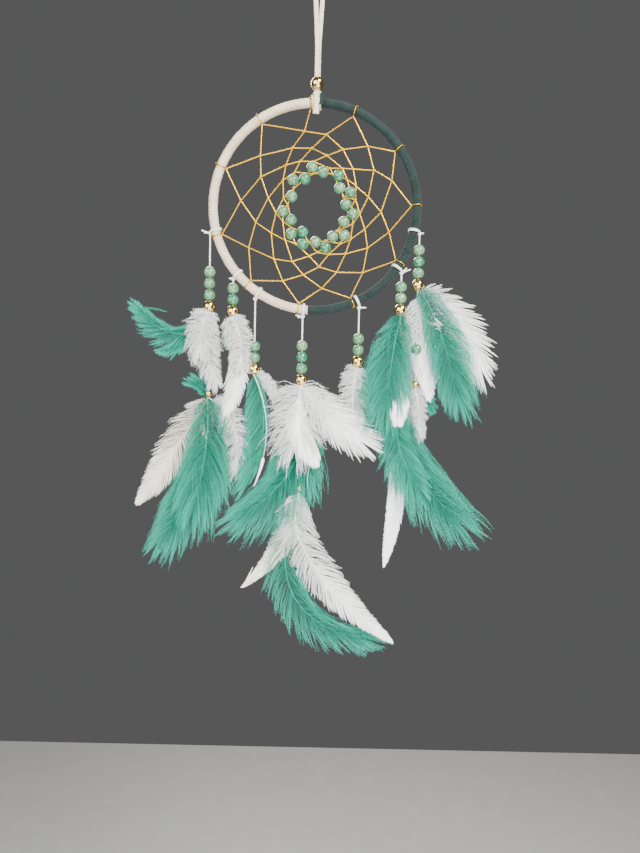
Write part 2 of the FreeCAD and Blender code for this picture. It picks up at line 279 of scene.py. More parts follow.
@dataclass(frozen=True)
class WaxedThread:
    """White waxed thread: twisted plies with a dull wax shine, and painted shade darkening the grooves
    between them.
    """

    name: str
    # groove is the painted shade colour put in the grooves between the plies.
    groove: Colour
    ply: Colour
    fibre_scale: float = 3800.0
    fibre_depth: float = 0.1 * MM

    def make(self) -> bpy.types.Material:
        """Build the material."""
        shader = Shader(self.name, {"Roughness": 0.55, "Coat Weight": 0.15, "Coat Roughness": 0.4})
        fibre = shader.noise(self.fibre_scale, 3.0)
        # Painted shade: the base colour darkens where crown is low, in the grooves between plies, with fibre
        # noise on top.
        tone = shader.attribute("crown") * 0.75 + fibre * 0.35
        shader.feed("Base Color", shader.ramp(tone, [(0.15, self.groove), (0.75, self.ply)]))
        shader.bump(fibre, 0.3, self.fibre_depth)
        return shader.material


@dataclass(frozen=True)
class Aventurine:
    """Polished cloudy green quartz; each stone has its own depth of green."""

    name: str
    pale: tuple[Colour, Colour] = ((0.11, 0.24, 0.12), (0.27, 0.40, 0.22))
    rich: tuple[Colour, Colour] = ((0.004, 0.12, 0.05), (0.035, 0.29, 0.14))
    vein: Colour = (0.70, 0.78, 0.72)
    cloud_scale: float = 260.0
    fleck_scale: float = 2400.0

    def make(self) -> bpy.types.Material:
        """Build the material."""
        shader = Shader(self.name, {"Coat Weight": 0.7, "Coat Roughness": 0.04, "IOR": 1.54,
                                    "Subsurface Weight": 0.18, "Subsurface Scale": 0.002,
                                    "Subsurface Radius": (0.5, 1.0, 0.8)})
        cloud = shader.noise(self.cloud_scale, 4.0, 0.6)
        fleck = shader.noise(self.fleck_scale, 2.0, 0.7)
        depth = shader.attribute("depth")
        pale = shader.ramp(cloud, [(0.34, self.pale[0]), (0.66, self.pale[1])])
        rich = shader.ramp(cloud, [(0.32, self.rich[0]), (0.68, self.rich[1])])
        body = shader.mix(depth, pale, rich)
        vein = shader.ramp(fleck, [(0.40, self.vein), (0.62, (1.0, 1.0, 1.0))])
        shader.feed("Base Color", shader.mix(0.8, body, vein, "MULTIPLY"))
        shader.feed("Roughness", fleck * 0.2 + 0.08)
        return shader.material


@dataclass(frozen=True)
class Plume:
    """Feather: painted shade darkens the barbs deep in the plume, and a painted highlight makes them paler at
    their ends.
    """

    name: str
    # The first colour is painted shade at the barbs' roots, deep in the plume; end is a painted highlight at
    # their tips.
    painted_deep_shade: Colour
    body: Colour
    end: Colour
    quill: Colour
    patch_scale: float = 110.0
    patch_shade: Colour = (0.92, 0.92, 0.92)

    def make(self) -> bpy.types.Material:
        """Build the material."""
        shader = Shader(self.name, {"Roughness": 0.7, "Sheen Weight": 0.06, "Sheen Roughness": 0.4,
                                    "Specular IOR Level": 0.2})
        along = shader.attribute("along")
        strand = shader.attribute("strand")
        spine = shader.attribute("spine")
        # Painted shade and highlight: along runs from a barb's root to its tip, so the ramp goes from painted
        # shade deep in the plume to a painted highlight at the ends; strand adds each barb's random tint.
        tone = along * 0.62 + strand * 0.42
        barb = shader.ramp(tone, [(0.05, self.painted_deep_shade), (0.45, self.body), (0.95, self.end)])
        patches = shader.noise(self.patch_scale, 2.0)
        patch = shader.ramp(patches, [(0.3, self.patch_shade), (0.65, (1.0, 1.0, 1.0))])
        dyed = shader.mix(1.0, barb, patch, "MULTIPLY")
        shader.feed("Base Color", shader.mix(spine, dyed, self.quill))
        return shader.material


@dataclass(frozen=True)
class Plaster:
    """The studio's plain pale floor."""

    name: str
    tint: Colour
    grain_scale: float = 18.0
    grain_shade: float = 0.95

    def make(self) -> bpy.types.Material:
        """Build the material."""
        shader = Shader(self.name, {"Roughness": 0.8})
        grain = shader.noise(self.grain_scale, 3.0)
        darker = tuple(channel * self.grain_shade for channel in self.tint)
        shader.feed("Base Color", shader.ramp(grain, [(0.3, darker), (0.7, self.tint)]))
        return shader.material


class Finishes:
    """Every finish of the object, made once."""

    def __init__(self) -> None:
        """Build all the materials."""
        self.cream_suede = Suede("cream_suede", (0.52, 0.41, 0.27), (0.84, 0.73, 0.55)).make()
        self.green_suede = Suede("green_suede", (0.004, 0.010, 0.009), (0.021, 0.040, 0.035)).make()
        self.gold = Gold("gold", (0.95, 0.66, 0.24), 0.16).make()
        # The gold thread's first colour is painted shade for the grooves between its plies.
        self.gold_thread = MetallicThread("gold_thread", (0.34, 0.15, 0.004), (0.93, 0.55, 0.02)).make()
        self.aventurine = Aventurine("aventurine").make()
        # The waxed thread's first colour is painted shade for the grooves between its plies.
        self.waxed_thread = WaxedThread("waxed_thread", (0.55, 0.53, 0.48), (0.92, 0.91, 0.87)).make()
        self.steel = Gold("steel_wire", (0.55, 0.55, 0.56), 0.35).make()
        # Each plume's colours: painted shade deep in the plume, its own colour, a painted highlight at the
        # barb ends, and the quill.
        self.plumes = {
            Dye.GREEN: Plume("green_feather", (0.0, 0.07, 0.042), (0.0, 0.29, 0.185), (0.03, 0.66, 0.47),
                             (0.006, 0.36, 0.24)).make(),
            Dye.WHITE: Plume("white_feather", (0.90, 0.91, 0.90), (0.96, 0.97, 0.95), (0.985, 0.985, 0.975),
                             (0.90, 0.89, 0.84)).make(),
            Dye.CREAM: Plume("cream_feather", (0.66, 0.60, 0.47), (0.84, 0.78, 0.65), (0.94, 0.90, 0.80),
                             (0.88, 0.84, 0.72)).make(),
        }


# ---------------------------------------------------------------- mesh helpers


def deselect() -> None:
    """Leave edit mode and deselect every object."""
    if bpy.context.object and bpy.context.object.mode != "OBJECT":
        bpy.ops.object.mode_set(mode="OBJECT")
    bpy.ops.object.select_all(action="DESELECT")


def stand(name: str, data: Any) -> bpy.types.Object:
    """Put a mesh, a light or a camera in the scene as a new object at the origin."""
    made = bpy.data.objects.new(name, data)
    bpy.context.scene.collection.objects.link(made)
    return made


def dress(piece: bpy.types.Object, node: str, body: str) -> None:
    """Hang a piece on the body it rides on and hide the CAD part it stands for."""
    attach(piece, body)
    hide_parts(node)


def mesh_object(name: str, points: Array, faces: Sequence[Sequence[int]],
                material: bpy.types.Material) -> bpy.types.Object:
    """Make a smooth-shaded object from points and faces.

    Args:
        name: the piece's name.
        points: an N by 3 array, in metres.
        faces: tuples of point numbers.
        material: its finish.

    Returns:
        The new object, at the origin.
    """
    mesh = bpy.data.meshes.new(name)
    mesh.from_pydata(points.tolist(), [], faces)
    mesh.materials.append(material)
    mesh.polygons.foreach_set("use_smooth", [True] * len(mesh.polygons))
    mesh.update()
    return stand(name, mesh)


def store(piece: bpy.types.Object, name: str, values: Array) -> None:
    """Store one number for each vertex as an attribute that the finish reads."""
    attribute = piece.data.attributes.new(name, "FLOAT", "POINT")
    attribute.data.foreach_set("value", np.asarray(values, np.float32))


def unit(vectors: Array) -> Array:
    """Scale vectors to length one."""
    return vectors / np.maximum(np.linalg.norm(vectors, axis=-1, keepdims=True), 1e-12)


def travelled(path: Array) -> Array:
    """The distance along a path at each of its points."""
    return np.concatenate([[0], np.cumsum(np.linalg.norm(np.diff(path, axis=0), axis=1))])


def path_length(path: Array) -> float:
    """The whole length of a path."""
    return float(np.sum(np.linalg.norm(np.diff(path, axis=0), axis=1)))


def read_along(values: Array, places: Array, wanted: Array) -> Array:
    """Vectors read off between the known places of a path."""
    return np.stack([np.interp(wanted, places, values[:, axis]) for axis in range(3)], axis=1)


def trefoil(turn: Array, depth: float) -> Array:
    """The closed curve of a pulled-tight overhand knot, with turns that reach 3.

    Args:
        turn: angles over one full turn.
        depth: how far it reaches to front and back.

    Returns:
        One point for each angle.
    """
    return np.stack([np.sin(turn) + 2 * np.sin(2 * turn), depth * np.sin(3 * turn),
                     np.cos(turn) - 2 * np.cos(2 * turn)], axis=1)


def frames_along(path: Array, up: Array) -> tuple[Array, Array, Array]:
    """Tangent, side and normal at each point of a path.

    Args:
        path: an N by 3 array.
        up: a direction that the normal keeps close to.

    Returns:
        Three N by 3 arrays.
    """
    tangent = unit(np.gradient(path, axis=0))
    side = unit(np.cross(tangent, up))
    return tangent, side, np.cross(side, tangent)


def rings_round(path: Array, side: Array, normal: Array, angle: Array, reach: Array) -> Array:
    """Points in rings round a path.

    Args:
        path: the rings' centres.
        side: the way of each ring's first point.
        normal: the way a quarter turn on.
        angle: the points' angles, as one row.
        reach: their distances, a row for each ring.

    Returns:
        All the points in order.
    """
    spokes = np.cos(angle)[..., None] * side[:, None, :] + np.sin(angle)[..., None] * normal[:, None, :]
    return (path[:, None, :] + reach[..., None] * spokes).reshape(-1, 3)


def grid_faces(rings: int, around: int, first: int = 0) -> list[tuple[int, ...]]:
    """Faces of a closed tube of rings, with both ends capped.

    Args:
        rings: the number of rings.
        around: points in a ring.
        first: the number of the first point.

    Returns:
        Quads along the tube and one face at each end.
    """
    faces = []
    for ring in range(rings - 1):
        base = first + ring * around
        for place in range(around):
            step = (place + 1) % around
            faces.append((base + place, base + step, base + around + step, base + around + place))
    faces.append(tuple(first + place for place in reversed(range(around))))
    last = first + (rings - 1) * around
    faces.append(tuple(last + place for place in range(around)))
    return faces


def resample(path: Array, step: float) -> Array:
    """Points evenly spaced along a path.

    Args:
        path: an N by 3 array.
        step: the wanted distance between points.

    Returns:
        The new points, both ends kept.
    """
    lengths = travelled(path)
    count = max(3, int(round(lengths[-1] / step)) + 1)
    return read_along(path, lengths, np.linspace(0, lengths[-1], count))


@dataclass(frozen=True)
class Twist:
    """A twisted thread's section: plies that turn round each other."""

    radius: float
    plies: int
    pitch: float
    groove: float
    step: float
    around: int = 9

    def tube(self, path: Array, up: Array) -> tuple[Array, Array]:
        """Points of a twisted tube along a path.

        Args:
            path: evenly spaced points.
            up: a direction the section starts from.

        Returns:
            The ring points in order, and how high on its ply each one is, from 0 to 1.
        """
        _, side, normal = frames_along(path, up)
        angle = np.linspace(0, TURN, self.around, endpoint=False)[None, :]
        turn = TURN * travelled(path)[:, None] / self.pitch
        crown = 0.5 + 0.5 * np.cos(self.plies * (angle - turn))
        reach = self.radius * (1 - self.groove * (1 - crown))
        return rings_round(path, side, normal, angle, reach), crown.reshape(-1)


def thread_piece(name: str, runs: Sequence[Array], twist: Twist, material: bpy.types.Material,
                 up: Array) -> bpy.types.Object:
    """One object of twisted thread along one or more paths.

    Args:
        name: the piece's name.
        runs: paths in metres.
        twist: the thread's section.
        material: its finish.
        up: a direction that no path runs along.

    Returns:
        The new object.
    """
    points, faces, crowns, count = [], [], [], 0
    for run in runs:
        path = resample(np.asarray(run), twist.step)
        ring_points, crown = twist.tube(path, up)
        points.append(ring_points)
        crowns.append(crown)
        faces += grid_faces(len(path), twist.around, count)
        count += len(ring_points)
    piece = mesh_object(name, np.concatenate(points), faces, material)
    store(piece, "crown", np.concatenate(crowns))
    return piece


def nurbs_line(name: str, points: Sequence[Sequence[float]]) -> Array:
    """Points along a smooth spline with the given control points.

    Args:
        name: a name for the short-lived curve.
        points: control points in metres.

    Returns:
        The spline's own points.
    """
    curve = bpy.data.curves.new(name, "CURVE")
    curve.dimensions = "3D"
    curve.resolution_u = 12
    spline = curve.splines.new("NURBS")
    spline.points.add(len(points) - 1)
    for control, place in zip(spline.points, points):
        control.co = (*place, 1)
    spline.order_u = 3
    spline.use_endpoint_u = True
    holder = bpy.data.objects.new(name, curve)
    mesh = bpy.data.meshes.new_from_object(holder)
    line = np.array([vertex.co[:] for vertex in mesh.vertices])
    bpy.data.objects.remove(holder)
    bpy.data.meshes.remove(mesh)
    bpy.data.curves.remove(curve)
    return line


# ---------------------------------------------------------------- the ring and its web


@dataclass
class WrappedRing:
    """The steel ring and the two suede laces wound round it, turn against turn."""

    finishes: Finishes
    ring_radius: float = 68.5 * MM
    wrap_radius: float = 3.0 * MM
    hook_to_centre: float = 160.0 * MM
    turn_pitch: float = 1.72 * MM
    lace_width: float = 2.15 * MM
    lace_thickness: float = 0.85 * MM
    overlap_tilt: float = 0.26
    points_per_turn: int = 22
    wobble: float = 0.09 * MM
    lift: float = 0.05 * MM
    seat: float = 0.55
    cream_span: tuple[float, float] = (92.4, 266.4)
    green_span: tuple[float, float] = (266.6, 447.6)
    seed: int = 11

    def centre(self) -> Array:
        """The ring's centre."""
        return np.array([0.0, 0.0, -self.hook_to_centre])

    def place(self, degrees: Array, radius: Array) -> Array:
        """Points in the ring's plane from angles and distances."""
        angle = np.radians(degrees)
        return self.centre() + np.stack([radius * np.cos(angle), 0 * angle, radius * np.sin(angle)], axis=-1)

    def wound_lace(self, name: str, span: tuple[float, float],
                   material: bpy.types.Material) -> bpy.types.Object:
        """One lace wound round the ring between two angles.

        Args:
            name: the piece's name.
            span: where it starts and ends, in degrees.
            material: its finish.

        Returns:
            The wound lace.
        """
        random = np.random.default_rng(self.seed + len(name))
        first, last = span
        arc = math.radians(last - first) * self.ring_radius
        turns = int(arc / self.turn_pitch)
        count = turns * self.points_per_turn
        share = np.linspace(0, 1, count)
        turn = TURN * turns * share
        every = np.arange(turns + 1)
        wobble = np.interp(share * turns, every, random.normal(0, self.wobble, turns + 1))
        lift = np.interp(share * turns, every, random.normal(0, self.lift, turns + 1))
        angle = np.radians(first) + math.radians(last - first) * share + wobble / self.ring_radius
        outward = np.stack([np.cos(angle), 0 * angle, np.sin(angle)], axis=1)
        along = np.stack([-np.sin(angle), 0 * angle, np.cos(angle)], axis=1)
        spoke = np.cos(turn)[:, None] * outward + np.sin(turn)[:, None] * BACK[None, :]
        core = self.centre() + self.ring_radius * outward
        profile = self.section()
        flat = np.cos(self.overlap_tilt) * along + np.sin(self.overlap_tilt) * spoke
        rise = -np.sin(self.overlap_tilt) * along + np.cos(self.overlap_tilt) * spoke
        middle = core + (self.wrap_radius - self.lace_thickness * self.seat + lift)[:, None] * spoke
        points = (middle[:, None, :] + profile[None, :, 0, None] * flat[:, None, :]
                  + profile[None, :, 1, None] * rise[:, None, :])
        return mesh_object(name, points.reshape(-1, 3), grid_faces(count, len(profile)), material)

    def section(self) -> Array:
        """The flat lace's rounded section, across and up, in metres."""
        half = self.lace_width / 2
        thick = self.lace_thickness / 2
        return np.array([(half, 0), (half * 0.8, thick), (0, thick * 1.15), (-half * 0.8, thick),
                         (-half, 0), (-half * 0.8, -thick), (half * 0.8, -thick)])

    def build(self) -> None:
        """Build and dress both wraps."""
        cream = self.wound_lace("cream_wrap_turns", self.cream_span, self.finishes.cream_suede)
        green = self.wound_lace("green_wrap_turns", self.green_span, self.finishes.green_suede)
        dress(cream, "cream_wrap", "ring")
        dress(green, "green_wrap", "ring")
        LOG.info("ring wraps: %d and %d faces", len(cream.data.polygons), len(green.data.polygons))


@dataclass
class Web:
    """One gold thread knotted row by row, with stones on its inner rows."""

    finishes: Finishes
    ring: WrappedRing
    stone: "Stone"
    twist: Twist = Twist(0.52 * MM, 2, 2.3 * MM, 0.34, 0.42 * MM)
    knot_twist: Twist = Twist(0.40 * MM, 2, 1.8 * MM, 0.3, 0.34 * MM, 7)
    knot_reach: float = 0.72 * MM
    knot_turns: float = 2.4
    knot_length: float = 0.9 * MM
    anchor_gap: float = 0.42 * MM
    anchor_turns: float = 0.62
    anchor_drift: float = 0.55
    slack_step: float = 1.5 * MM
    bow: float = 0.3 * MM
    # Knots of each row: degrees round the ring's centre, and millimetres from it.
    rows: tuple[tuple[tuple[float, float], ...], ...] = (
        ((93.6, 65), (124, 65), (158, 65), (197, 65), (229.5, 65), (261.5, 65),
         (292.8, 65), (328.3, 65), (2, 65), (35.5, 65), (68, 65)),
        ((99, 50.5), (138, 50), (176, 50), (212, 52), (247, 53.5), (276, 54),
         (308, 54), (343, 52.5), (20, 54.5), (50, 53.5), (82, 48.5)),
        ((112, 42), (152, 41.5), (195, 41), (232, 44), (261, 45.5), (290, 45.5),
         (324, 44.5), (357, 44.5), (33, 46.5), (65, 42.5), (94, 39)),
        ((126, 34), (170, 32), (211, 34), (248, 39), (275, 39.5), (305, 37),
         (338, 36.5), (12, 36.5), (46, 36), (78, 35), (109, 32)),
        ((141, 28), (189, 26.5), (228, 29.5), (264, 32.5), (288, 32.5), (320, 32),
         (353, 30.5), (28, 31), (56, 31.5), (93, 30.2), (121, 27)),
        ((165, 22), (204, 23.5), (243, 27.5), (274, 29.8), (307, 29.5), (338, 27.7),
         (12, 27.7), (42, 28.4), (70, 27.7), (95, 22.3), (139, 19)),
        ((175, 18.5), (219, 21), (260, 23.3), (289, 23.4), (314, 21.5), (1, 24.4),
         (21, 20.4), (62, 24.9), (87.5, 22.8)),
    )
    # Stones on the thread: knot before, knot after, degrees, distance, depth of green.
    beads: tuple[tuple[int, int, float, float, float], ...] = (
        (53, 64, 95, 26.3, 0.45), (73, 74, 77.8, 24, 0.5), (62, 73, 53.7, 26.3, 0.85),
        (72, 73, 38.6, 21, 0.25), (72, 62, 23.2, 25.9, 0.6), (71, 72, 6.3, 20.9, 0.5),
        (60, 71, 351.6, 26, 0.45), (70, 71, 335, 21.7, 0.3), (59, 70, 318, 27.1, 0.12),
        (69, 70, 302.6, 22.7, 0.35), (58, 69, 286.1, 27.8, 0.8), (68, 69, 272, 22.9, 0.25),
        (57, 68, 252.6, 25.7, 0.9), (67, 68, 244.4, 18.3, 0.95), (67, 57, 228.9, 23.7, 0.6),
        (66, 67, 208.7, 18.1, 0.5), (66, 56, 188.2, 21.7, 0.45), (65, 66, 156.4, 17.2, 0.3),
        (54, 65, 130.2, 23.1, 0.52), (64, 65, 110.9, 19.9, 0.85),
    )

    @property
    def per_row(self) -> int:
        """How many knots a full row has."""
        return len(self.rows[0])

    def knots(self) -> Array:
        """Every knot in the order it is tied."""
        places = np.array([place for row in self.rows for place in row], float)
        return self.ring.place(places[:, 0], places[:, 1] * MM)

    def runs(self, knots: Array) -> list[Array]:
        """The stretches of thread between knots.

        A later row's knot pulls its stretch in, and a stone bends the stretch that carries it.

        Args:
            knots: every knot's place.

        Returns:
            One short path for each stretch.
        """
        carried = {frozenset(bead[:2]): self.ring.place(np.array(bead[2]), np.array(bead[3] * MM))
                   for bead in self.beads}
        links = []
        for number in range(len(knots) - 1):
            middle = number + self.per_row
            pulled = [(number, middle), (middle, number + 1)]
            links += pulled if middle < len(knots) else [(number, number + 1)]
        stretches = []
        for before, after in links:
            ends = [knots[before], knots[after]]
            stone = carried.get(frozenset((before, after)))
            if stone is not None:
                ends.insert(1, stone)
            stretches.append(self.slack(np.array(ends), before + 0.37 * after))
        return stretches

    def slack(self, ends: Array, phase: float) -> Array:
        """A stretch of thread that bows a little out of the ring's plane.

        Args:
            ends: its points.
            phase: a number that makes each stretch bow its own way.

        Returns:
            Closely spaced points.
        """
        path = resample(ends, self.slack_step)
        share = np.linspace(0, 1, len(path))
        path[:, 1] += self.bow * math.sin(phase) * np.sin(math.pi * share)
        return path

    def knot_turn(self, knot: Array, toward: Array) -> Array:
        """A small double turn of thread round the crossing.

        Args:
            knot: the crossing's place.
            toward: the direction of the thread it is tied round.

        Returns:
            A short coil's points.
        """
        way = unit(toward)
        beside = unit(np.cross(way, BACK))
        turn = np.linspace(0, self.knot_turns * TURN, 22)[:, None]
        drift = np.linspace(-0.5, 0.5, 22)[:, None] * self.knot_length
        return knot + drift * way + self.knot_reach * (np.cos(turn) * BACK + np.sin(turn) * beside)

    def anchor_turn(self, degrees: float) -> Array:
        """A turn and a quarter of thread round the wrapped ring at an anchor."""
        radius = self.ring.wrap_radius + self.anchor_gap
        turn = np.linspace(-self.anchor_turns, self.anchor_turns, 40) * TURN + math.pi
        spread = np.linspace(-self.anchor_drift, self.anchor_drift, 40) * MM
        drift = np.degrees(spread / self.ring.ring_radius)
        reach = self.ring.ring_radius + radius * np.cos(turn)
        points = self.ring.place(degrees + drift, reach)
        points[:, 1] = radius * np.sin(turn)
        return points

    def build(self) -> None:
        """Build the thread and thread the stones on it."""
        knots = self.knots()
        runs = self.runs(knots)
        stretches = np.diff(knots, axis=0)
        turns = [self.knot_turn(knot, stretch) for knot, stretch in zip(knots[self.per_row:], stretches)]
        turns += [self.anchor_turn(degrees) for degrees, _ in self.rows[0]]
        gold = self.finishes.gold_thread
        thread = thread_piece("gold_web", runs, self.twist, gold, BACK)
        wraps = thread_piece("gold_web_knots", turns, self.knot_twist, gold, np.array([0.31, 0.52, 0.79]))
        for piece in (thread, wraps):
            dress(piece, "web_thread", "ring")
        self.thread_stones(knots)
        LOG.info("web: %d runs, %d faces", len(runs), len(thread.data.polygons))

    def thread_stones(self, knots: Array) -> None:
        """Put every web stone on its stretch of thread."""
        placings = []
        for before, after, degrees, reach, depth in self.beads:
            centre = self.ring.place(np.array(degrees), np.array(reach * MM))
            placings.append((centre, knots[after] - knots[before], depth))
        dress(self.stone.string("web_stone_ring", placings), "web_stones", "ring")


# ---------------------------------------------------------------- stones and beads


@dataclass
class Bored:
    """A round body with a hole, turned from a ball and copied wherever it is needed."""

    material: bpy.types.Material
    diameter: float
    height: float
    bore: float
    lip: float
    segments: int = 36
    rings: int = 24
    least_rim: float = 0.02 * MM
    lip_angle: float = 32.0
    spin: float = 2.4

    def model(self, name: str) -> bpy.types.Object:
        """Model one, upright at the origin.

        Args:
            name: the pattern's name.

        Returns:
            The pattern object.
        """
        deselect()
        bpy.ops.mesh.primitive_uv_sphere_add(segments=self.segments, ring_count=self.rings,
                                             radius=self.diameter / 2)
        ball = bpy.context.object
        ball.name = name
        bpy.ops.object.mode_set(mode="EDIT")
        for side in (1, -1):
            bpy.ops.mesh.select_all(action="SELECT")
            bpy.ops.mesh.bisect(plane_co=(0, 0, side * self.height / 2), plane_no=(0, 0, side),
                                clear_outer=True, use_fill=True)
            bpy.ops.mesh.inset(thickness=self.rim_width(), depth=0)
            bpy.ops.mesh.delete(type="FACE")
        bpy.ops.mesh.select_all(action="DESELECT")
        bpy.ops.mesh.select_non_manifold()
        bpy.ops.mesh.bridge_edge_loops(number_cuts=2)
        bpy.ops.mesh.select_all(action="SELECT")
        bpy.ops.mesh.normals_make_consistent(inside=False)
        bpy.ops.object.mode_set(mode="OBJECT")
        bevel = ball.modifiers.new("lip", "BEVEL")
        bevel.width = self.lip
        bevel.segments = 3
        bevel.limit_method = "ANGLE"
        bevel.angle_limit = math.radians(self.lip_angle)
        bpy.ops.object.modifier_apply(modifier=bevel.name)
        bpy.ops.object.shade_smooth_by_angle(angle=CREASE)
        return ball

    def rim_width(self) -> float:
        """How wide the flat ring round the hole is."""
        flat = math.sqrt(max((self.diameter / 2) ** 2 - (self.height / 2) ** 2, 0))
        return max(flat - self.bore, self.least_rim)

    def string(self, name: str, placings: Sequence[tuple[Array, Array, float]]) -> bpy.types.Object:
        """Copies of the pattern as one piece.

        Args:
            name: the piece's name.
            placings: centre, direction of the hole and depth of colour for each copy.

        Returns:
            The piece.
        """
        pattern = self.model(name + "_pattern")
        points = np.array([vertex.co[:] for vertex in pattern.data.vertices])
        faces = [tuple(face.vertices) for face in pattern.data.polygons]
        all_points, all_faces, depths = [], [], []
        for number, (centre, way, depth) in enumerate(placings):
            turn = Vector(UPRIGHT).rotation_difference(Vector(way))
            matrix = np.array(turn.to_matrix()) @ np.array(Matrix.Rotation(number * self.spin, 3, "Z"))
            all_points.append(points @ matrix.T + np.asarray(centre))
            all_faces += [tuple(index + number * len(points) for index in face) for face in faces]
            depths.append(np.full(len(points), depth))
        bpy.data.objects.remove(pattern)
        piece = mesh_object(name, np.concatenate(all_points), all_faces, self.material)
        store(piece, "depth", np.concatenate(depths))
        deselect()
        piece.select_set(True)
        bpy.context.view_layer.objects.active = piece
        bpy.ops.object.shade_smooth_by_angle(angle=CREASE)
        return piece


class Stone(Bored):
    """A polished round stone with a narrow drilled hole."""


class GoldBead(Bored):
    """A gold-coloured bead with a wide hole."""


def boxed_bead(name: str, node: str, body: str, gold: bpy.types.Material, bore: float,
               lip: float) -> bpy.types.Object:
    """A gold bead that fills a CAD bead's box.

    Args:
        name: the piece's name.
        node: the CAD bead it stands for.
        body: the body it rides on.
        gold: its finish.
        bore: the hole's half width.
        lip: the rounding of its edges.

    Returns:
        The bead, dressed.
    """
    low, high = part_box(node)
    bead = GoldBead(gold, high.x - low.x, high.z - low.z, bore, lip)
    piece = bead.string(name, [((low + high) / 2, UPRIGHT, 0.0)])
    dress(piece, node, body)
    return piece


# ---------------------------------------------------------------- the hanging loop


@dataclass
class HangingLoop:
    """The folded lace over the hook, its slider bead, and the hitch that ties it to the ring."""

    finishes: Finishes
    ring: WrappedRing
    lace_width: float = 3.0 * MM
    lace_thickness: float = 1.25 * MM
    hook_radius: float = 3.0 * MM
    fold_drop: float = 2.0 * MM
    spread_drop: float = 9.0 * MM
    meet_drop: float = 57.0 * MM
    part_rise: float = 6.0 * MM
    face_on_drop: float = 24.0 * MM
    shift: float = 0.45 * MM
    line_step: float = 0.9 * MM
    end_drop: float = 0.9 * MM
    sleeve_radius: float = 4.75 * MM
    sleeve_span: tuple[float, float] = (87.7, 92.5)
    tail_thickness: float = 1.15 * MM

    def route(self, end_z: float) -> list[tuple[float, float, float]]:
        """Control points: up one strand, over the hook, down the other.

        Args:
            end_z: where both strands end above the hitch.

        Returns:
            The points in metres.
        """
        side = self.hook_radius + self.lace_thickness / 2
        layer = self.lace_thickness / 2 + 0.05 * MM
        up = [(-self.shift, -layer, end_z), (-self.shift, -layer, -self.meet_drop),
              (-self.shift - 0.25 * MM, -layer * 0.9, -self.meet_drop + self.part_rise),
              (-side * 0.86, -layer * 0.2, -self.spread_drop), (-side, 0, -self.fold_drop),
              (-side, 0, side * 0.62)]
        top = [(-side * 0.62, 0, side * 1.1), (0, 0, side * 1.16), (side * 0.62, 0, side * 1.1)]
        down = [(side, 0, side * 0.62), (side, 0, -self.fold_drop),
                (side * 0.86, layer * 0.2, -self.spread_drop),
                (self.shift + 0.25 * MM, layer * 0.9, -self.meet_drop + self.part_rise),
                (self.shift, layer, -self.meet_drop), (self.shift, layer, end_z)]
        return up + top + down

    def width_way(self, line: Array) -> Array:
        """Which way the lace's width points: to the side low down, front to back over the hook."""
        share = np.clip((line[:, 2] + self.face_on_drop) / (self.face_on_drop - 4 * MM), 0, 1)
        turn = (share * share * (3 - 2 * share)) * math.pi / 2
        hand = np.where(np.arange(len(line)) < len(line) / 2, 1.0, -1.0)
        return np.stack([np.cos(turn), hand * np.sin(turn), 0 * turn], axis=1)

    def flat_lace(self, name: str, line: Array, width: Array, widths: Array, thickness: float,
                  material: bpy.types.Material) -> bpy.types.Object:
        """A flat lace along a line.

        Args:
            name: the piece's name.
            line: centre points.
            width: the way across the lace at each point.
            widths: the lace's width at each point.
            thickness: its thickness.
            material: its finish.

        Returns:
            The new piece.
        """
        tangent = unit(np.gradient(line, axis=0))
        across = unit(width - np.sum(width * tangent, axis=1, keepdims=True) * tangent)
        rise = np.cross(tangent, across)
        shape = np.array([(1, 0), (0.9, 0.8), (0.45, 1), (0, 0.92), (-0.45, 1), (-0.9, 0.8),
                          (-1, 0), (-0.9, -0.8), (-0.45, -1), (0, -0.92), (0.45, -1), (0.9, -0.8)])
        points = (line[:, None, :] + shape[None, :, 0, None] * across[:, None, :] * widths[:, None, None] / 2
                  + shape[None, :, 1, None] * rise[:, None, :] * thickness / 2)
        return mesh_object(name, points.reshape(-1, 3), grid_faces(len(line), len(shape)), material)

    def build_lace(self) -> None:
        low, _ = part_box("hanging_lace")
        route = self.route(low.z - self.end_drop)
        line = resample(nurbs_line("hanging_lace_line", route), self.line_step)
        widths = np.full(len(line), self.lace_width)
        lace = self.flat_lace("folded_lace", line, self.width_way(line), widths, self.lace_thickness,
                              self.finishes.cream_suede)
        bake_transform(lace)
        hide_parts("hanging_lace")

    def build_slider(self) -> None:
        """Build the slider bead on both strands."""
        boxed_bead("slider_bead_gold", "slider_bead", "slider", self.finishes.gold, 2.3 * MM, 0.22 * MM)

    def wound_sleeve(self) -> bpy.types.Object:
        """The turns of lace that hold the ring."""
        sleeve = WrappedRing(self.finishes, wrap_radius=self.sleeve_radius, turn_pitch=1.9 * MM,
                             lace_width=2.5 * MM, lace_thickness=1.1 * MM, overlap_tilt=0.2,
                             points_per_turn=30, seed=5)
        return sleeve.wound_lace("hitch_sleeve", self.sleeve_span, self.finishes.cream_suede)

    def knot(self, name: str, centre: Array, size: float, section: float, squash: Array) -> bpy.types.Object:
        """A pulled-tight overhand knot in the cream lace.

        Args:
            name: the piece's name.
            centre: its middle.
            size: how far its turns reach.
            section: the strand's half width.
            squash: how much it is squeezed along each axis.

        Returns:
            The new piece.
        """
        loop = trefoil(np.linspace(0, TURN, 120), 1.15) / 3
        path = np.asarray(centre) + loop * size * squash
        twist = Twist(section, 1, 1.0, 0.0, size * 0.12, 10)
        ring_points, _ = twist.tube(path, np.array([0.2, 0.9, 0.31]))
        return mesh_object(name, ring_points, grid_faces(len(path), twist.around), self.finishes.cream_suede)

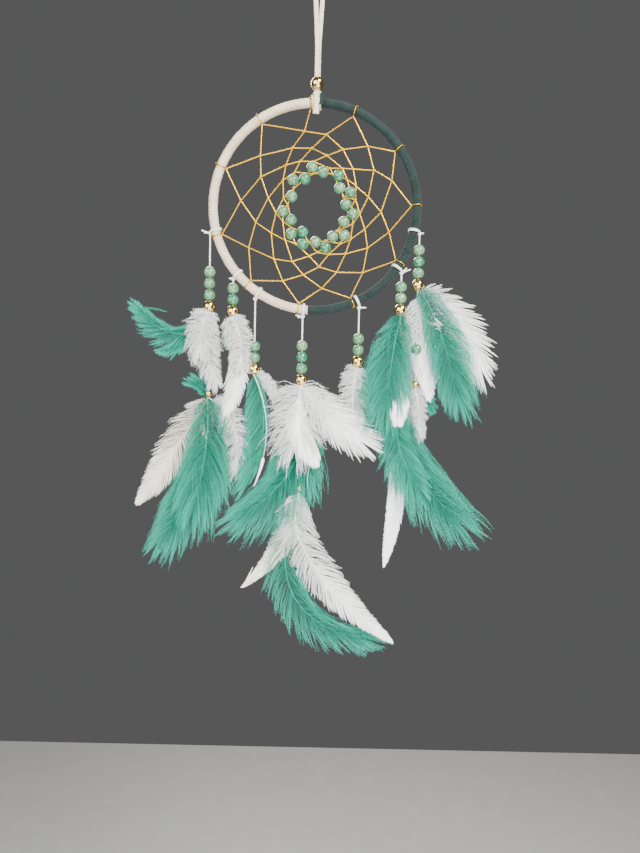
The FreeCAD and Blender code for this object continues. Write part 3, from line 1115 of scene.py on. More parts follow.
    def tail(self, name: str, start: tuple[float, float, float], drop: float, widths: tuple[float, float],
             material: bpy.types.Material) -> bpy.types.Object:
        """A short cut end of lace hanging in front of the ring.

        Args:
            name: the piece's name.
            start: its top.
            drop: how far it hangs.
            widths: its width at the top and at the cut.
            material: its finish.

        Returns:
            The new piece.
        """
        share = np.linspace(0, 1, 16)
        line = np.stack([start[0] + 0.3 * MM * np.sin(share * 3),
                         start[1] - 0.5 * MM * np.sin(share * math.pi),
                         start[2] - drop * share], axis=1)
        width = np.tile([1.0, 0.12, 0.0], (len(share), 1))
        spread = widths[0] + (widths[1] - widths[0]) * share**1.6
        return self.flat_lace(name, line, width, spread, self.tail_thickness, material)

    def build_hitch(self) -> None:
        """Build the sleeve, the knot and the two cut tails."""
        middle = self.ring.place(np.array(90.0), np.array(self.ring.ring_radius))
        top = middle[2] + self.sleeve_radius
        cream = [
            self.wound_sleeve(),
            self.knot("hitch_knot", (0.1 * MM, -0.2 * MM, top + 0.1 * MM), 2.15 * MM, 1.05 * MM,
                      np.array([1.0, 1.15, 0.95])),
            self.tail("cream_tail", (-0.7 * MM, -4.75 * MM, top + 0.4 * MM), 14.2 * MM, (2.6 * MM, 4.3 * MM),
                      self.finishes.cream_suede),
        ]
        green = self.tail("green_tail", (2.75 * MM, -4.4 * MM, top - 0.6 * MM), 7 * MM, (2.2 * MM, 2.7 * MM),
                          self.finishes.green_suede)
        for piece in cream:
            dress(piece, "lace_hitch", "hitch")
        dress(green, "lace_hitch", "hitch")

    def build(self) -> None:
        """Build everything above the ring."""
        self.build_lace()
        self.build_slider()
        self.build_hitch()


# ---------------------------------------------------------------- feathers


@dataclass(frozen=True)
class Habit:
    """How a kind of feather grows.

    outline is its width from root to tip, and sweep the barbs' angles to the shaft at foot and end. jitter is
    how uneven those angles are, wave how much a barb waves, and gather how far a group of barbs closes to one
    point. down is the share of the shaft that is fluffy, fuzz how long the finest hairs stay past it, last
    where the barbs stop along the shaft, and blunt how round the tip is.
    """

    outline: tuple[float, ...]
    sweep: tuple[float, float]
    jitter: float
    wave: float
    gather: float
    group: int
    out_of_plane: float
    barb_width: float
    taper: float
    barbule: float
    barbules: int
    fuzz: float
    down: float
    droop: float
    last: float
    blunt: float = 0.1


MARABOU = Habit(
    outline=(0.5, 0.85, 1.0, 1.0, 0.8, 0.5), sweep=(54, 20), jitter=7.0, wave=9.0,
    gather=0.55, group=4, out_of_plane=42, barb_width=0.36 * MM, taper=0.66, barbule=2.5 * MM,
    barbules=24, fuzz=1.0, down=0.3, droop=0.16, last=0.88)
SPIKY = Habit(
    outline=(0.5, 0.85, 1.0, 0.95, 0.8, 0.6), sweep=(52, 34), jitter=5.0, wave=6.0,
    gather=0.6, group=4, out_of_plane=18, barb_width=0.38 * MM, taper=0.66, barbule=1.9 * MM,
    barbules=24, fuzz=1.0, down=0.15, droop=0.08, last=0.9)
FLUFF = Habit(
    outline=(0.8, 1.0, 1.0, 0.96, 0.84, 0.6), sweep=(82, 50), jitter=10.0, wave=14.0,
    gather=0.35, group=4, out_of_plane=34, barb_width=0.52 * MM, taper=0.55, barbule=2.2 * MM,
    barbules=24, fuzz=1.0, down=0.85, droop=0.1, last=0.9)
VANE = Habit(
    outline=(0.5, 0.86, 1.0, 1.0, 0.92, 0.7), sweep=(44, 27), jitter=1.1, wave=0.6,
    gather=0.12, group=9, out_of_plane=3, barb_width=0.86 * MM, taper=0.22, barbule=2.4 * MM,
    barbules=16, fuzz=0.16, down=0.16, droop=0.0, last=0.97, blunt=0.42)
PLUME = Habit(
    outline=(0.8, 1.0, 1.0, 0.66, 0.56, 0.4), sweep=(50, 27), jitter=2.0, wave=2.0,
    gather=0.25, group=6, out_of_plane=8, barb_width=0.72 * MM, taper=0.3, barbule=2.5 * MM,
    barbules=26, fuzz=0.18, down=0.55, droop=0.0, last=0.97, blunt=0.42)
FINGERS = Habit(
    outline=(0.5, 0.86, 1.0, 1.0, 0.9, 0.6), sweep=(46, 30), jitter=2.0, wave=1.5,
    gather=0.8, group=5, out_of_plane=9, barb_width=0.66 * MM, taper=0.45, barbule=1.7 * MM,
    barbules=18, fuzz=0.5, down=0.3, droop=0.0, last=0.93)


@dataclass(frozen=True)
class Feather:
    """One feather: where it grows, the line of its shaft and how wide its barbs spread.

    Lengths are in millimetres from the foot of the bead that holds it: right, and up. reach is how far the
    barbs stand out to the left and to the right. depth is how far back the shaft starts and ends. barbs is
    how many grow on each side, and bare the length of shaft above the first of them.
    """

    name: str
    node: str
    dye: Dye
    habit: Habit
    middle: tuple[float, float]
    tip: tuple[float, float]
    reach: tuple[float, float]
    depth: tuple[float, float]
    barbs: int
    bare: float

    @property
    def body(self) -> str:
        """The body it rides on, told by its node's name."""
        number, tier = self.node.split("_")[2:]
        return f"pendant_{number}" if tier == "upper" else f"lower_tier_{number}"


@dataclass
class Plumage:
    """Grows feathers barb by barb.

    front_limit is the furthest that barbs stand out to front or back. fade is the share of the shaft over
    which the down thins out, and down_open and down_close are the degrees that it opens the barbs at foot and
    end. narrowing is how much the barbs close towards the tip, ragged how uneven their lengths are at least
    and with full fuzz, and hair_lean the degrees between the finest hairs and their barb. stations are the
    shares of the shaft at which a habit's outline gives its width.
    """

    finishes: Finishes
    points_per_barb: int = 7
    front_limit: float = 15.5 * MM
    shaft_points: int = 40
    shaft_sides: int = 6
    shaft_radii: tuple[float, float] = (0.34, 0.07)
    stations: tuple[float, ...] = (0, 0.12, 0.35, 0.7, 0.92, 1.0)
    foot_scatter: float = 0.2
    fade: float = 0.2
    down_open: float = 14
    down_close: float = 12
    down_jitter: float = 5
    down_wave: float = 8
    down_lift: float = 18
    narrowing: float = 0.3
    tip_closing: float = 0.8
    tip_shortening: float = 0.32
    ragged: tuple[float, float] = (0.03, 0.12)
    ragged_limits: tuple[float, float] = (0.6, 1.25)
    angle_limits: tuple[float, float] = (24, 80)
    curl: float = 0.7
    ripples: float = 6
    gather_curve: float = 1.6
    group_tint: float = 0.55
    own_tint: float = 0.45
    down_thinning: float = 0.4
    ridge_height: float = 0.5
    hair_width: float = 0.085 * MM
    hair_lean: tuple[float, float] = (24, 62)
    hair_lengths: tuple[float, float] = (0.55, 1.15)
    down_hair: float = 1.15
    hair_scatter: float = 0.02
    hair_thickness: float = 0.6
    hair_shortening: float = 0.4
    hair_tints: tuple[float, float] = (0.7, 0.3)

    def shaft(self, feather: Feather, root: Array) -> Array:
        """The feather's shaft from inside its bead to its tip.

        Args:
            feather: the feather's plan.
            root: the foot of the bead.

        Returns:
            Points along the shaft, in metres.
        """
        share = np.linspace(0, 1, self.shaft_points)[:, None]
        start = np.array([0.0, 0.0])
        middle = np.array(feather.middle)
        tip = np.array(feather.tip)
        bend = 2 * middle - (start + tip) / 2
        flat = (1 - share) ** 2 * start + 2 * share * (1 - share) * bend + share**2 * tip
        depth = feather.depth[0] * (1 - share) ** 2 + feather.depth[1] * share**1.2
        line = np.concatenate([flat[:, :1], depth, flat[:, 1:]], axis=1) * MM
        return np.asarray(root) + line

    def barb_lines(self, feather: Feather, shaft: Array, random: np.random.Generator) -> dict[str, Array]:
        """Centre lines of all barbs.

        Args:
            feather: the feather's plan.
            shaft: its shaft.
            random: the feather's own seeded numbers.

        Returns:
            Points, directions, the feather's face, shares of down and tints.
        """
        habit = feather.habit
        count = feather.barbs
        lengths = travelled(shaft)
        bare = feather.bare * MM / lengths[-1]
        share = np.tile(bare + (habit.last - bare) * (np.arange(count) + 0.5) / count, 2)
        share = np.clip(share + random.normal(0, self.foot_scatter / count, 2 * count), bare, habit.last)
        hand = np.repeat([-1.0, 1.0], count)
        tangent, side, normal = frames_along(shaft, FRONT)
        travel = lengths / lengths[-1]
        base = read_along(shaft, travel, share)
        way, out, face = (unit(read_along(values, travel, share)) for values in (tangent, side, normal))
        downy = np.clip((habit.down - share) / self.fade, 0, 1)
        group = np.arange(2 * count) // habit.group
        lean = random.normal(0, 1, group[-1] + 1)[group]
        narrow = 1 - self.narrowing * share
        open_by = (habit.sweep[0] + self.down_open * downy) * narrow
        open_by = open_by + random.normal(0, habit.jitter, 2 * count)
        close_to = (habit.sweep[1] + self.down_close * downy) * narrow
        close_to = close_to + lean * (habit.jitter + self.down_jitter * downy)
        grown = np.interp(share, self.stations, habit.outline)
        wide = grown * np.where(hand > 0, feather.reach[0], feather.reach[1]) * MM
        uneven = self.ragged[0] + self.ragged[1] * np.maximum(downy, habit.fuzz)
        ragged = np.clip(random.normal(1, uneven, 2 * count), *self.ragged_limits)
        mean_angle = np.radians(np.clip((open_by + 2 * close_to) / 3, *self.angle_limits))
        reach = wide * ragged / np.sin(mean_angle)
        reach *= 1 - self.tip_shortening * share**2.5 - habit.blunt * (share / habit.last) ** 9
        closing = 1 - self.tip_closing * (share / habit.last) ** 5
        lift = random.normal(0, 1, 2 * count) * habit.out_of_plane * (0.5 + downy)
        lift = lift + self.down_lift * downy * lean
        phase = random.uniform(0, TURN, 2 * count)
        steps = np.linspace(0, 1, self.points_per_barb)
        point = base.copy()
        points = []
        for step in steps:
            angle = np.radians(closing * (open_by + (close_to - open_by) * step**self.curl)
                               + (habit.wave + self.down_wave * downy) * np.sin(phase + self.ripples * step))
            azimuth = np.radians(lift * (0.4 + 0.6 * step))
            spread = (np.cos(azimuth) * hand)[:, None] * out + np.sin(azimuth)[:, None] * face
            heading = np.cos(angle)[:, None] * way + np.sin(angle)[:, None] * spread
            heading = unit(heading + np.array([0.0, 0.0, -habit.droop * step]))
            points.append(point.copy())
            point = point + heading * (reach / (self.points_per_barb - 1))[:, None]
        lines = np.stack(points, 1)
        middle = np.minimum(group * habit.group + habit.group // 2, 2 * count - 1)
        pull = (habit.gather * steps**self.gather_curve)[None, :, None]
        lines = lines * (1 - pull) + lines[middle] * pull
        lines[..., 1] = self.front_limit * np.tanh(lines[..., 1] / self.front_limit)
        ways = unit(np.gradient(lines, axis=1))
        tint = random.uniform(0, 1, group[-1] + 1)[group] * self.group_tint
        tint = tint + random.uniform(0, self.own_tint, 2 * count)
        return {"points": lines, "ways": ways, "face": face, "downy": downy, "tint": tint}

    def barb_mesh(self, habit: Habit, barbs: dict[str, Array]) -> list[Array]:
        """Three-sided tapering barbs.

        Args:
            habit: how the feather grows.
            barbs: their centre lines.

        Returns:
            Points, triangles, and the finish's numbers: along, strand and spine.
        """
        centre, ways = barbs["points"], barbs["ways"]
        count, steps = centre.shape[:2]
        along = np.linspace(0, 1, steps)[None, :]
        thinning = 1 - self.down_thinning * barbs["downy"][:, None]
        half = habit.barb_width / 2 * (1 - habit.taper * along) * thinning
        half = half * np.where(along > 0.99, 0.4, 1)
        face = barbs["face"][:, None, :]
        across = unit(np.cross(ways, np.broadcast_to(face, ways.shape)))
        ridge = unit(np.cross(across, ways))
        corners = np.stack([centre + across * half[..., None], centre - across * half[..., None],
                            centre + ridge * half[..., None] * self.ridge_height], axis=2)
        points = corners.reshape(-1, 3)
        ring = np.arange(count * steps).reshape(count, steps) * 3
        faces = []
        for corner in range(3):
            other = (corner + 1) % 3
            low, high = ring[:, :-1].ravel(), ring[:, 1:].ravel()
            faces.append(np.stack([low + corner, low + other, high + other], 1))
            faces.append(np.stack([low + corner, high + other, high + corner], 1))
        faces.append(np.stack([ring[:, 0], ring[:, 0] + 2, ring[:, 0] + 1], 1))
        faces.append(np.stack([ring[:, -1], ring[:, -1] + 1, ring[:, -1] + 2], 1))
        strand = np.repeat(barbs["tint"], steps * 3)
        # shade, stored as along, picks the painted shade at the barb's root through to the painted highlight
        # at its end.
        shade = np.repeat(np.broadcast_to(along, (count, steps)).ravel(), 3)
        return [points, np.concatenate(faces), shade, strand, np.zeros(len(points))]

    def barbule_mesh(self, habit: Habit, barbs: dict[str, Array], random: np.random.Generator) -> list[Array]:
        """Fine needles along every barb: the down and the soft edge.

        Args:
            habit: how the feather grows.
            barbs: their centre lines.
            random: the feather's own seeded numbers.

        Returns:
            Points, triangles, and the finish's numbers: along, strand and spine.
        """
        centre, ways = barbs["points"], barbs["ways"]
        count, steps = centre.shape[:2]
        number = np.repeat(np.arange(count), habit.barbules)
        along = np.clip(np.tile((np.arange(habit.barbules) + 0.5) / habit.barbules, count)
                        + random.uniform(-self.hair_scatter, self.hair_scatter, len(number)), 0.03, 0.995)
        place = along * (steps - 1)
        low = np.minimum(place.astype(int), steps - 2)
        part = (place - low)[:, None]
        base = centre[number, low] * (1 - part) + centre[number, low + 1] * part
        way = ways[number, low]
        face = barbs["face"][number]
        across = unit(np.cross(way, face))
        flat = 1 - 0.75 * np.clip(barbs["downy"][number] + habit.fuzz * 0.6, 0, 1)
        azimuth = random.uniform(-math.pi, math.pi, len(number))
        level = np.round(azimuth / math.pi) * math.pi
        azimuth = np.where(random.uniform(0, 1, len(number)) < flat, level, azimuth)
        out = np.cos(azimuth)[:, None] * across + np.sin(azimuth)[:, None] * face
        lean = np.radians(random.uniform(*self.hair_lean, len(number)))
        heading = np.cos(lean)[:, None] * way + np.sin(lean)[:, None] * out
        length = habit.barbule * random.uniform(*self.hair_lengths, len(number))
        length *= 1 - self.hair_shortening * along
        length *= habit.fuzz + (self.down_hair - habit.fuzz) * barbs["downy"][number]
        wide = unit(np.cross(heading, face)) * self.hair_width
        thick = unit(np.cross(heading, wide)) * self.hair_width * self.hair_thickness
        points = np.stack([base - wide, base + wide, base + thick, base + heading * length[:, None]], 1)
        first = np.arange(len(number)) * 4
        faces = np.concatenate([np.stack([first + a, first + b, first + c], 1)
                                for a, b, c in ((0, 1, 3), (1, 2, 3), (2, 0, 3), (0, 2, 1))])
        # The hairs' tips get 0.3 more, toward the painted highlight.
        shade = np.clip(np.stack([along, along, along, along + 0.3], 1), 0, 1).ravel()
        shared, own = self.hair_tints
        strand = np.repeat(barbs["tint"][number] * shared + random.uniform(0, own, len(number)), 4)
        return [points.reshape(-1, 3), faces, shade, strand, np.zeros(len(points) * 4)]

    def shaft_mesh(self, shaft: Array) -> list[Array]:
        """The tapering shaft.

        Args:
            shaft: its centre line.

        Returns:
            Points, triangles, and the finish's numbers: along, strand and spine.
        """
        _, side, normal = frames_along(shaft, FRONT)
        radius = np.linspace(*self.shaft_radii, len(shaft)) * MM
        angle = np.linspace(0, TURN, self.shaft_sides, endpoint=False)
        points = rings_round(shaft, side, normal, angle[None, :], radius[:, None])
        faces = []
        for face in grid_faces(len(shaft), self.shaft_sides):
            faces += [(face[0], face[step], face[step + 1]) for step in range(1, len(face) - 1)]
        half = np.full(len(points), 0.5)
        return [points, np.array(faces), half, half, np.ones(len(points))]

    def grow(self, feather: Feather, root: Array) -> bpy.types.Object:
        """Grow one feather.

        Args:
            feather: its plan.
            root: the foot of the bead that holds it.

        Returns:
            The feather, riding on its body.
        """
        seed = sum(ord(letter) * place for place, letter in enumerate(feather.name, 7))
        random = np.random.default_rng(seed)
        shaft = self.shaft(feather, root)
        barbs = self.barb_lines(feather, shaft, random)
        parts = [self.barb_mesh(feather.habit, barbs), self.barbule_mesh(feather.habit, barbs, random)]
        parts.append(self.shaft_mesh(shaft[:int(self.shaft_points * feather.habit.last)]))
        offset, points, faces = 0, [], []
        for part in parts:
            points.append(part[0])
            faces.append(part[1] + offset)
            offset += len(part[0])
        piece = self.soup(feather.name, np.concatenate(points), np.concatenate(faces),
                          self.finishes.plumes[feather.dye])
        for place, name in ((2, "along"), (3, "strand"), (4, "spine")):
            store(piece, name, np.concatenate([part[place] for part in parts]))
        dress(piece, feather.node, feather.body)
        return piece

    @staticmethod
    def soup(name: str, points: Array, faces: Array, material: bpy.types.Material) -> bpy.types.Object:
        """A triangle mesh made quickly from arrays."""
        mesh = bpy.data.meshes.new(name)
        mesh.vertices.add(len(points))
        mesh.vertices.foreach_set("co", points.astype(np.float32).ravel())
        mesh.loops.add(faces.size)
        mesh.loops.foreach_set("vertex_index", faces.astype(np.int32).ravel())
        mesh.polygons.add(len(faces))
        mesh.polygons.foreach_set("loop_start", np.arange(0, faces.size, 3, dtype=np.int32))
        mesh.polygons.foreach_set("use_smooth", np.ones(len(faces), bool))
        mesh.materials.append(material)
        mesh.update(calc_edges=True)
        return stand(name, mesh)


# ---------------------------------------------------------------- the pendants


@dataclass(frozen=True)
class Tier:
    """What hangs on one thread, read from the frame."""

    number: int
    x: float
    angle: float
    start_z: float
    bead_z: float
    foot_z: float


@dataclass
class Pendants:
    """Seven threads with their loops, knots, stones, beads and feathers."""

    finishes: Finishes
    ring: WrappedRing
    stone: Stone
    plumage: Plumage
    thread_radius: float = 0.6 * MM
    loop_clearance: float = 0.3 * MM
    loop_gap: float = 0.06 * MM
    loop_turns: float = 0.99
    loop_spread: float = 0.62 * MM
    loop_swell: float = 0.24 * MM
    knot_size: float = 0.78 * MM
    knot_drop: float = 1.0 * MM
    end_sag: float = 1.2 * MM
    end_bend: float = 0.35
    lower_stone_depth: float = 0.62
    crimp_height: float = 0.84
    lower_start: float = 0.8 * MM
    shortest_cord: float = 0.03
    lower_tiers: tuple[int, ...] = (1, 4, 6, 7)
    # Depth of green of the stones from the top of each thread down.
    greens: tuple[tuple[float, ...], ...] = (
        (0.20, 0.42, 0.55), (0.35, 0.85), (0.60, 0.50), (0.12, 0.92, 0.55),
        (0.42, 0.50), (0.60, 0.02), (0.10, 0.85, 0.50))
    # Bearing, length in millimetres and rise of each cut end beside the knot.
    ends: tuple[tuple[tuple[float, float, float], ...], ...] = (
        ((185, 5.5, 1.6), (205, 4.2, 0.4)), ((170, 2.6, 0.6),), ((30, 2.2, 0.8),),
        ((190, 4.8, 1.0), (200, 3.4, -0.6)),
        ((-10, 4.6, 0.5), (100, 3.0, 3.4)), ((8, 6.0, 1.8), (25, 3.6, 2.6)), ((-5, 2.6, 0.4),))

    def tier(self, number: int) -> Tier:
        """Read one pendant's places from the frame.

        Args:
            number: the pendant's number, from the left.

        Returns:
            Its places.
        """
        bead_low, bead_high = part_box(f"gold_bead_{number}")
        x = (bead_low.x + bead_high.x) / 2
        loop = self.ring.wrap_radius + self.loop_clearance + self.thread_radius
        reach = self.ring.ring_radius + loop
        angle = TURN - math.acos(x / reach)
        start_z = -self.ring.hook_to_centre + reach * math.sin(angle)
        return Tier(number, x, angle, start_z, (bead_low.z + bead_high.z) / 2, bead_low.z)

    def line(self, name: str, route: Sequence[Sequence[float]], node: str, body: str,
             others: list[bpy.types.Object]) -> None:
        """Build one straight hanging thread.

        Args:
            name: the piece's name.
            route: its control points.
            node: the CAD node it stands for.
            body: the body it rides on.
            others: the pieces threaded on it; not used.
        """
        twist = Twist(self.thread_radius, 3, 3.1 * MM, 0.20, 0.45 * MM, 10)
        path = nurbs_line(name + "_route", route)
        piece = thread_piece(name, [path], twist, self.finishes.waxed_thread, BACK)
        dress(piece, node, body)
        length = path_length(path)
        if length > self.shortest_cord:
            2 * self.thread_radius
        LOG.info("%s: %.1f mm", name, length / MM)

    def loop(self, tier: Tier) -> None:
        """Build the doubled loop round the ring, the knot below it and the cut ends.

        Args:
            tier: the pendant's places.
        """
        random = np.random.default_rng(40 + tier.number)
        outward = np.array([math.cos(tier.angle), 0, math.sin(tier.angle)])
        along = np.array([-math.sin(tier.angle), 0, math.cos(tier.angle)])
        core = self.ring.centre() + self.ring.ring_radius * outward
        reach = self.ring.wrap_radius + self.thread_radius + self.loop_gap
        turn = np.linspace(-self.loop_turns * TURN, self.loop_turns * TURN, 84)
        drift = self.loop_spread * np.sin(turn / (4 * self.loop_turns))
        swell = self.loop_swell * np.exp(-((np.abs(turn) - TURN) / 0.5) ** 2)
        spoke = np.cos(turn)[:, None] * outward + np.sin(turn)[:, None] * BACK
        wound = core + (reach + swell)[:, None] * spoke + drift[:, None] * along
        knot = np.array([tier.x, 0, tier.start_z - self.knot_drop])
        tied = knot + self.knot_size / 2 * trefoil(np.linspace(0, TURN, 70), 1.6)
        runs = [wound, tied]
        share = np.linspace(0, 1, 12)
        for bearing, length, rise in self.ends[tier.number - 1]:
            way = math.radians(bearing)
            bent = random.normal(0, self.end_bend, 2) * MM
            end_x = length * MM * share * math.cos(way) + bent[0] * np.sin(3 * share)
            end_y = -self.end_sag * np.sin(share * 2.2)
            end_z = (rise + length * 0.3 * math.sin(way)) * MM * share + bent[1] * share**2
            runs.append(knot + np.stack([end_x, end_y, end_z], axis=1))
        twist = Twist(self.thread_radius * 0.92, 3, 2.6 * MM, 0.22, 0.36 * MM, 9)
        piece = thread_piece(f"thread_{tier.number}_loop", runs, twist, self.finishes.waxed_thread,
                             np.array([0.42, 0.33, 0.85]))
        dress(piece, f"thread_{tier.number}", f"pendant_{tier.number}")

    def upper(self, tier: Tier) -> None:
        """Build the upper thread with its stones and gold bead.

        Args:
            tier: the pendant's places.
        """
        number = tier.number
        body = f"pendant_{number}"
        low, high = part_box(f"stones_{number}")
        depths = self.greens[number - 1]
        pitch = (high.z - low.z - self.stone.diameter) / (len(depths) - 1)
        top = high.z - self.stone.diameter / 2
        placings = [(np.array([tier.x, 0, top - pitch * place]), UPRIGHT, depth)
                    for place, depth in enumerate(depths)]
        stones = self.stone.string(f"pendant_{number}_stones", placings)
        dress(stones, f"stones_{number}", body)
        gold = boxed_bead(f"pendant_{number}_bead", f"gold_bead_{number}", body, self.finishes.gold,
                          2.1 * MM, 0.2 * MM)
        halfway = (tier.start_z + tier.bead_z) / 2
        route = [(tier.x, 0, tier.start_z), (tier.x, 0, halfway), (tier.x, 0, tier.bead_z)]
        self.line(f"thread_{number}_line", route, f"thread_{number}", body, [stones, gold])
        self.loop(tier)

    def lower(self, tier: Tier) -> None:
        """Build the lower thread and its crimp bead.

        Args:
            tier: the pendant's places.
        """
        number = tier.number
        body = f"lower_tier_{number}"
        low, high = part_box(f"crimp_bead_{number}")
        size = high.x - low.x
        middle_z = high.z - size / 2
        crimp = GoldBead(self.finishes.gold, size, size * self.crimp_height, 1.25 * MM, 0.15 * MM, 28, 18)
        gold = crimp.string(f"lower_bead_{number}", [((tier.x, 0, middle_z), UPRIGHT, 0.0)])
        dress(gold, f"crimp_bead_{number}", body)
        others = [gold]
        if number == 7:
            low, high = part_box("lower_stone_7")
            placing = (tuple((low + high) / 2), UPRIGHT, self.lower_stone_depth)
            stone = self.stone.string("lower_tier_stone", [placing])
            dress(stone, "lower_stone_7", body)
            others.append(stone)
        top = tier.foot_z + self.lower_start
        route = [(tier.x, 0, top), (tier.x, 0, (top + middle_z) / 2), (tier.x, 0, middle_z)]
        self.line(f"lower_thread_{number}_line", route, f"lower_thread_{number}", body, others)

    def build(self) -> None:
        """Build every pendant and grow its feathers."""
        roots: dict[str, Array] = {}
        for number in range(1, len(self.greens) + 1):
            tier = self.tier(number)
            self.upper(tier)
            roots[f"pendant_{number}"] = np.array([tier.x, 0, tier.foot_z])
            if number in self.lower_tiers:
                self.lower(tier)
                low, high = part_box(f"crimp_bead_{number}")
                foot = high.z - (high.x - low.x)
                roots[f"lower_tier_{number}"] = np.array([tier.x, 0, foot])
        for feather in FEATHERS:
            piece = self.plumage.grow(feather, roots[feather.body])
            LOG.info("%s: %d faces", piece.name, len(piece.data.polygons))


FEATHERS: tuple[Feather, ...] = (
    Feather("green_plume_1_left", "green_feathers_1_upper", Dye.GREEN, MARABOU,
            (-23, -15), (-51, 6), (6, 7), (0, -4), 190, 4),
    Feather("green_plume_1_branch", "green_feathers_1_upper", Dye.GREEN, SPIKY,
            (-20, -22), (-36, -26), (5, 5), (1, -2), 85, 14),
    Feather("white_fluff_1_front", "white_feathers_1_upper", Dye.WHITE, FLUFF,
            (-4, -12), (-5, -28), (11, 10), (-3, -7), 160, 0.5),
    Feather("white_fluff_1_low", "white_feathers_1_upper", Dye.WHITE, FLUFF,
            (0, -28), (7, -50), (12, 9), (-2, -2), 150, 9),
    Feather("green_plume_1_low", "green_feathers_1_lower", Dye.GREEN, MARABOU,
            (-1, -38), (-9, -78), (16, 18), (-4, -8), 230, 0.5),
    Feather("green_plume_1_tail", "green_feathers_1_lower", Dye.GREEN, MARABOU,
            (-9, -57), (-37, -104), (16, 18), (2, 3), 200, 30),
    Feather("white_vane_1_left", "white_feathers_1_lower", Dye.CREAM, PLUME,
            (-20, -32), (-49, -74), (11, 13), (0, 0), 150, 1.5),
    Feather("white_fluff_1_right", "white_feathers_1_lower", Dye.WHITE, FLUFF,
            (19, -24), (17, -57), (10, 10), (0, 0), 150, 4),
    Feather("green_dark_1", "green_feathers_1_lower", Dye.GREEN, MARABOU,
            (-5, 7), (-13, 10), (5, 5), (2, 3), 40, 1),
    Feather("white_plume_2", "white_feathers_2_upper", Dye.WHITE, FLUFF,
            (6, -17), (6, -36), (11, 8), (-4, -5), 150, 0.5),
    Feather("white_fingers_2", "white_feathers_2_upper", Dye.WHITE, FINGERS,
            (6, -32), (-3, -67), (10, 6), (-2, -3), 120, 16),
    Feather("green_wisp_2", "green_feathers_2_upper", Dye.GREEN, SPIKY,
            (-3, -9), (-5, -19), (3, 3), (2, 2), 40, 2),
    Feather("green_plume_3", "green_feathers_3_upper", Dye.GREEN, SPIKY,
            (7, -39), (-5, -80), (15, 3), (-2, -4), 250, 1),
    Feather("white_quill_3", "white_feathers_3_upper", Dye.WHITE, VANE,
            (9.4, -38), (1, -77.5), (1.2, 1.4), (-4, -8), 90, 58),
    Feather("white_fluff_3", "white_feathers_3_upper", Dye.WHITE, FLUFF,
            (9, -6), (14, -17), (5, 5), (1, 2), 90, 1),
    Feather("white_round_4", "white_feathers_4_upper", Dye.WHITE, FLUFF,
            (-1, -20), (-3, -43), (22, 22), (-3, -6), 230, 0.5),
    Feather("white_right_4", "white_feathers_4_upper", Dye.WHITE, FINGERS,
            (17, -18), (42, -38), (13, 15), (-5, -7), 155, 3),
    Feather("white_vane_4_front", "white_feathers_4_upper", Dye.WHITE, VANE,
            (0, -25), (12, -49), (9, 6), (-3, -9), 110, 9),
    Feather("green_plume_4_down", "green_feathers_4_upper", Dye.GREEN, SPIKY,
            (2, -44), (5, -74), (14, 13), (2, 2), 180, 22),
    Feather("green_plume_4_left", "green_feathers_4_upper", Dye.GREEN, MARABOU,
            (-5, -56), (-50, -95), (16, 18), (-1, -4), 225, 32),
    Feather("green_plume_4_side", "green_feathers_4_upper", Dye.GREEN, MARABOU,
            (-7, -50), (-24, -76), (14, 9), (3, 3), 155, 30),
    Feather("white_vane_4", "white_feathers_4_lower", Dye.WHITE, PLUME,
            (9, -48), (67.4, -104), (12, 13), (-2, -4), 185, 1),
    Feather("green_plume_4_low", "green_feathers_4_lower", Dye.GREEN, MARABOU,
            (-1, -76), (66, -106), (12, 15), (1, 2), 250, 6),
    Feather("cream_vane_4", "cream_feathers_4_lower", Dye.CREAM, PLUME,
            (-12.6, -37.6), (-40, -69), (7, 7), (0, 1), 140, 4),
    Feather("white_fluff_5", "white_feathers_5_upper", Dye.WHITE, FLUFF,
            (-3, -24), (-1, -52), (10, 9), (-1, -2), 160, 0.5),
    Feather("green_plume_6", "green_feathers_6_upper", Dye.GREEN, MARABOU,
            (-5, -28), (-9, -67), (17, 15), (-5, -8), 240, 0.5),
    Feather("white_plume_6", "white_feathers_6_upper", Dye.WHITE, FLUFF,
            (6, -36), (9, -80), (7, 8), (2, 5), 150, 10),
    Feather("white_tip_6", "white_feathers_6_upper", Dye.WHITE, VANE,
            (0, -50), (-1, -73), (8, 8), (3, -12), 65, 46),
    Feather("green_plume_6_low", "green_feathers_6_lower", Dye.GREEN, MARABOU,
            (12, -40), (48, -80), (17, 18), (-2, -5), 250, 0.5),
    Feather("green_plume_6_mid", "green_feathers_6_lower", Dye.GREEN, SPIKY,
            (2, -28), (18, -58), (14, 12), (-4, -7), 170, 0.5),
    Feather("white_vane_6", "white_feathers_6_lower", Dye.WHITE, VANE,
            (1.5, -52), (-6.5, -112), (6, 6), (2, 4), 145, 18),
    Feather("green_plume_7", "green_feathers_7_upper", Dye.GREEN, MARABOU,
            (16, -30), (29, -80), (13, 15), (-4, -8), 240, 0.5),
    Feather("white_plume_7_right", "white_feathers_7_upper", Dye.WHITE, FINGERS,
            (25, -18), (46, -54), (15, 13), (1, 3), 170, 1),
    Feather("white_plume_7_left", "white_feathers_7_upper", Dye.WHITE, PLUME,
            (4, -36), (9, -74), (10, 12), (-1, -2), 130, 4),
    Feather("white_tuft_7", "white_feathers_7_lower", Dye.WHITE, FLUFF,
            (3.2, -18.7), (4.5, -37), (6, 6), (-1, -2), 90, 1),
    Feather("green_tuft_7", "green_feathers_7_lower", Dye.GREEN, SPIKY,
            (7.7, -7), (12.1, -16.5), (4, 4), (1, 1), 55, 1),
)


# ---------------------------------------------------------------- the studio


@dataclass(frozen=True)
class Lamp:
    """One soft square light: its name, place, strength in watts, side in metres and tint."""

    name: str
    place: tuple[float, float, float]
    power: float
    size: float
    tint: Colour


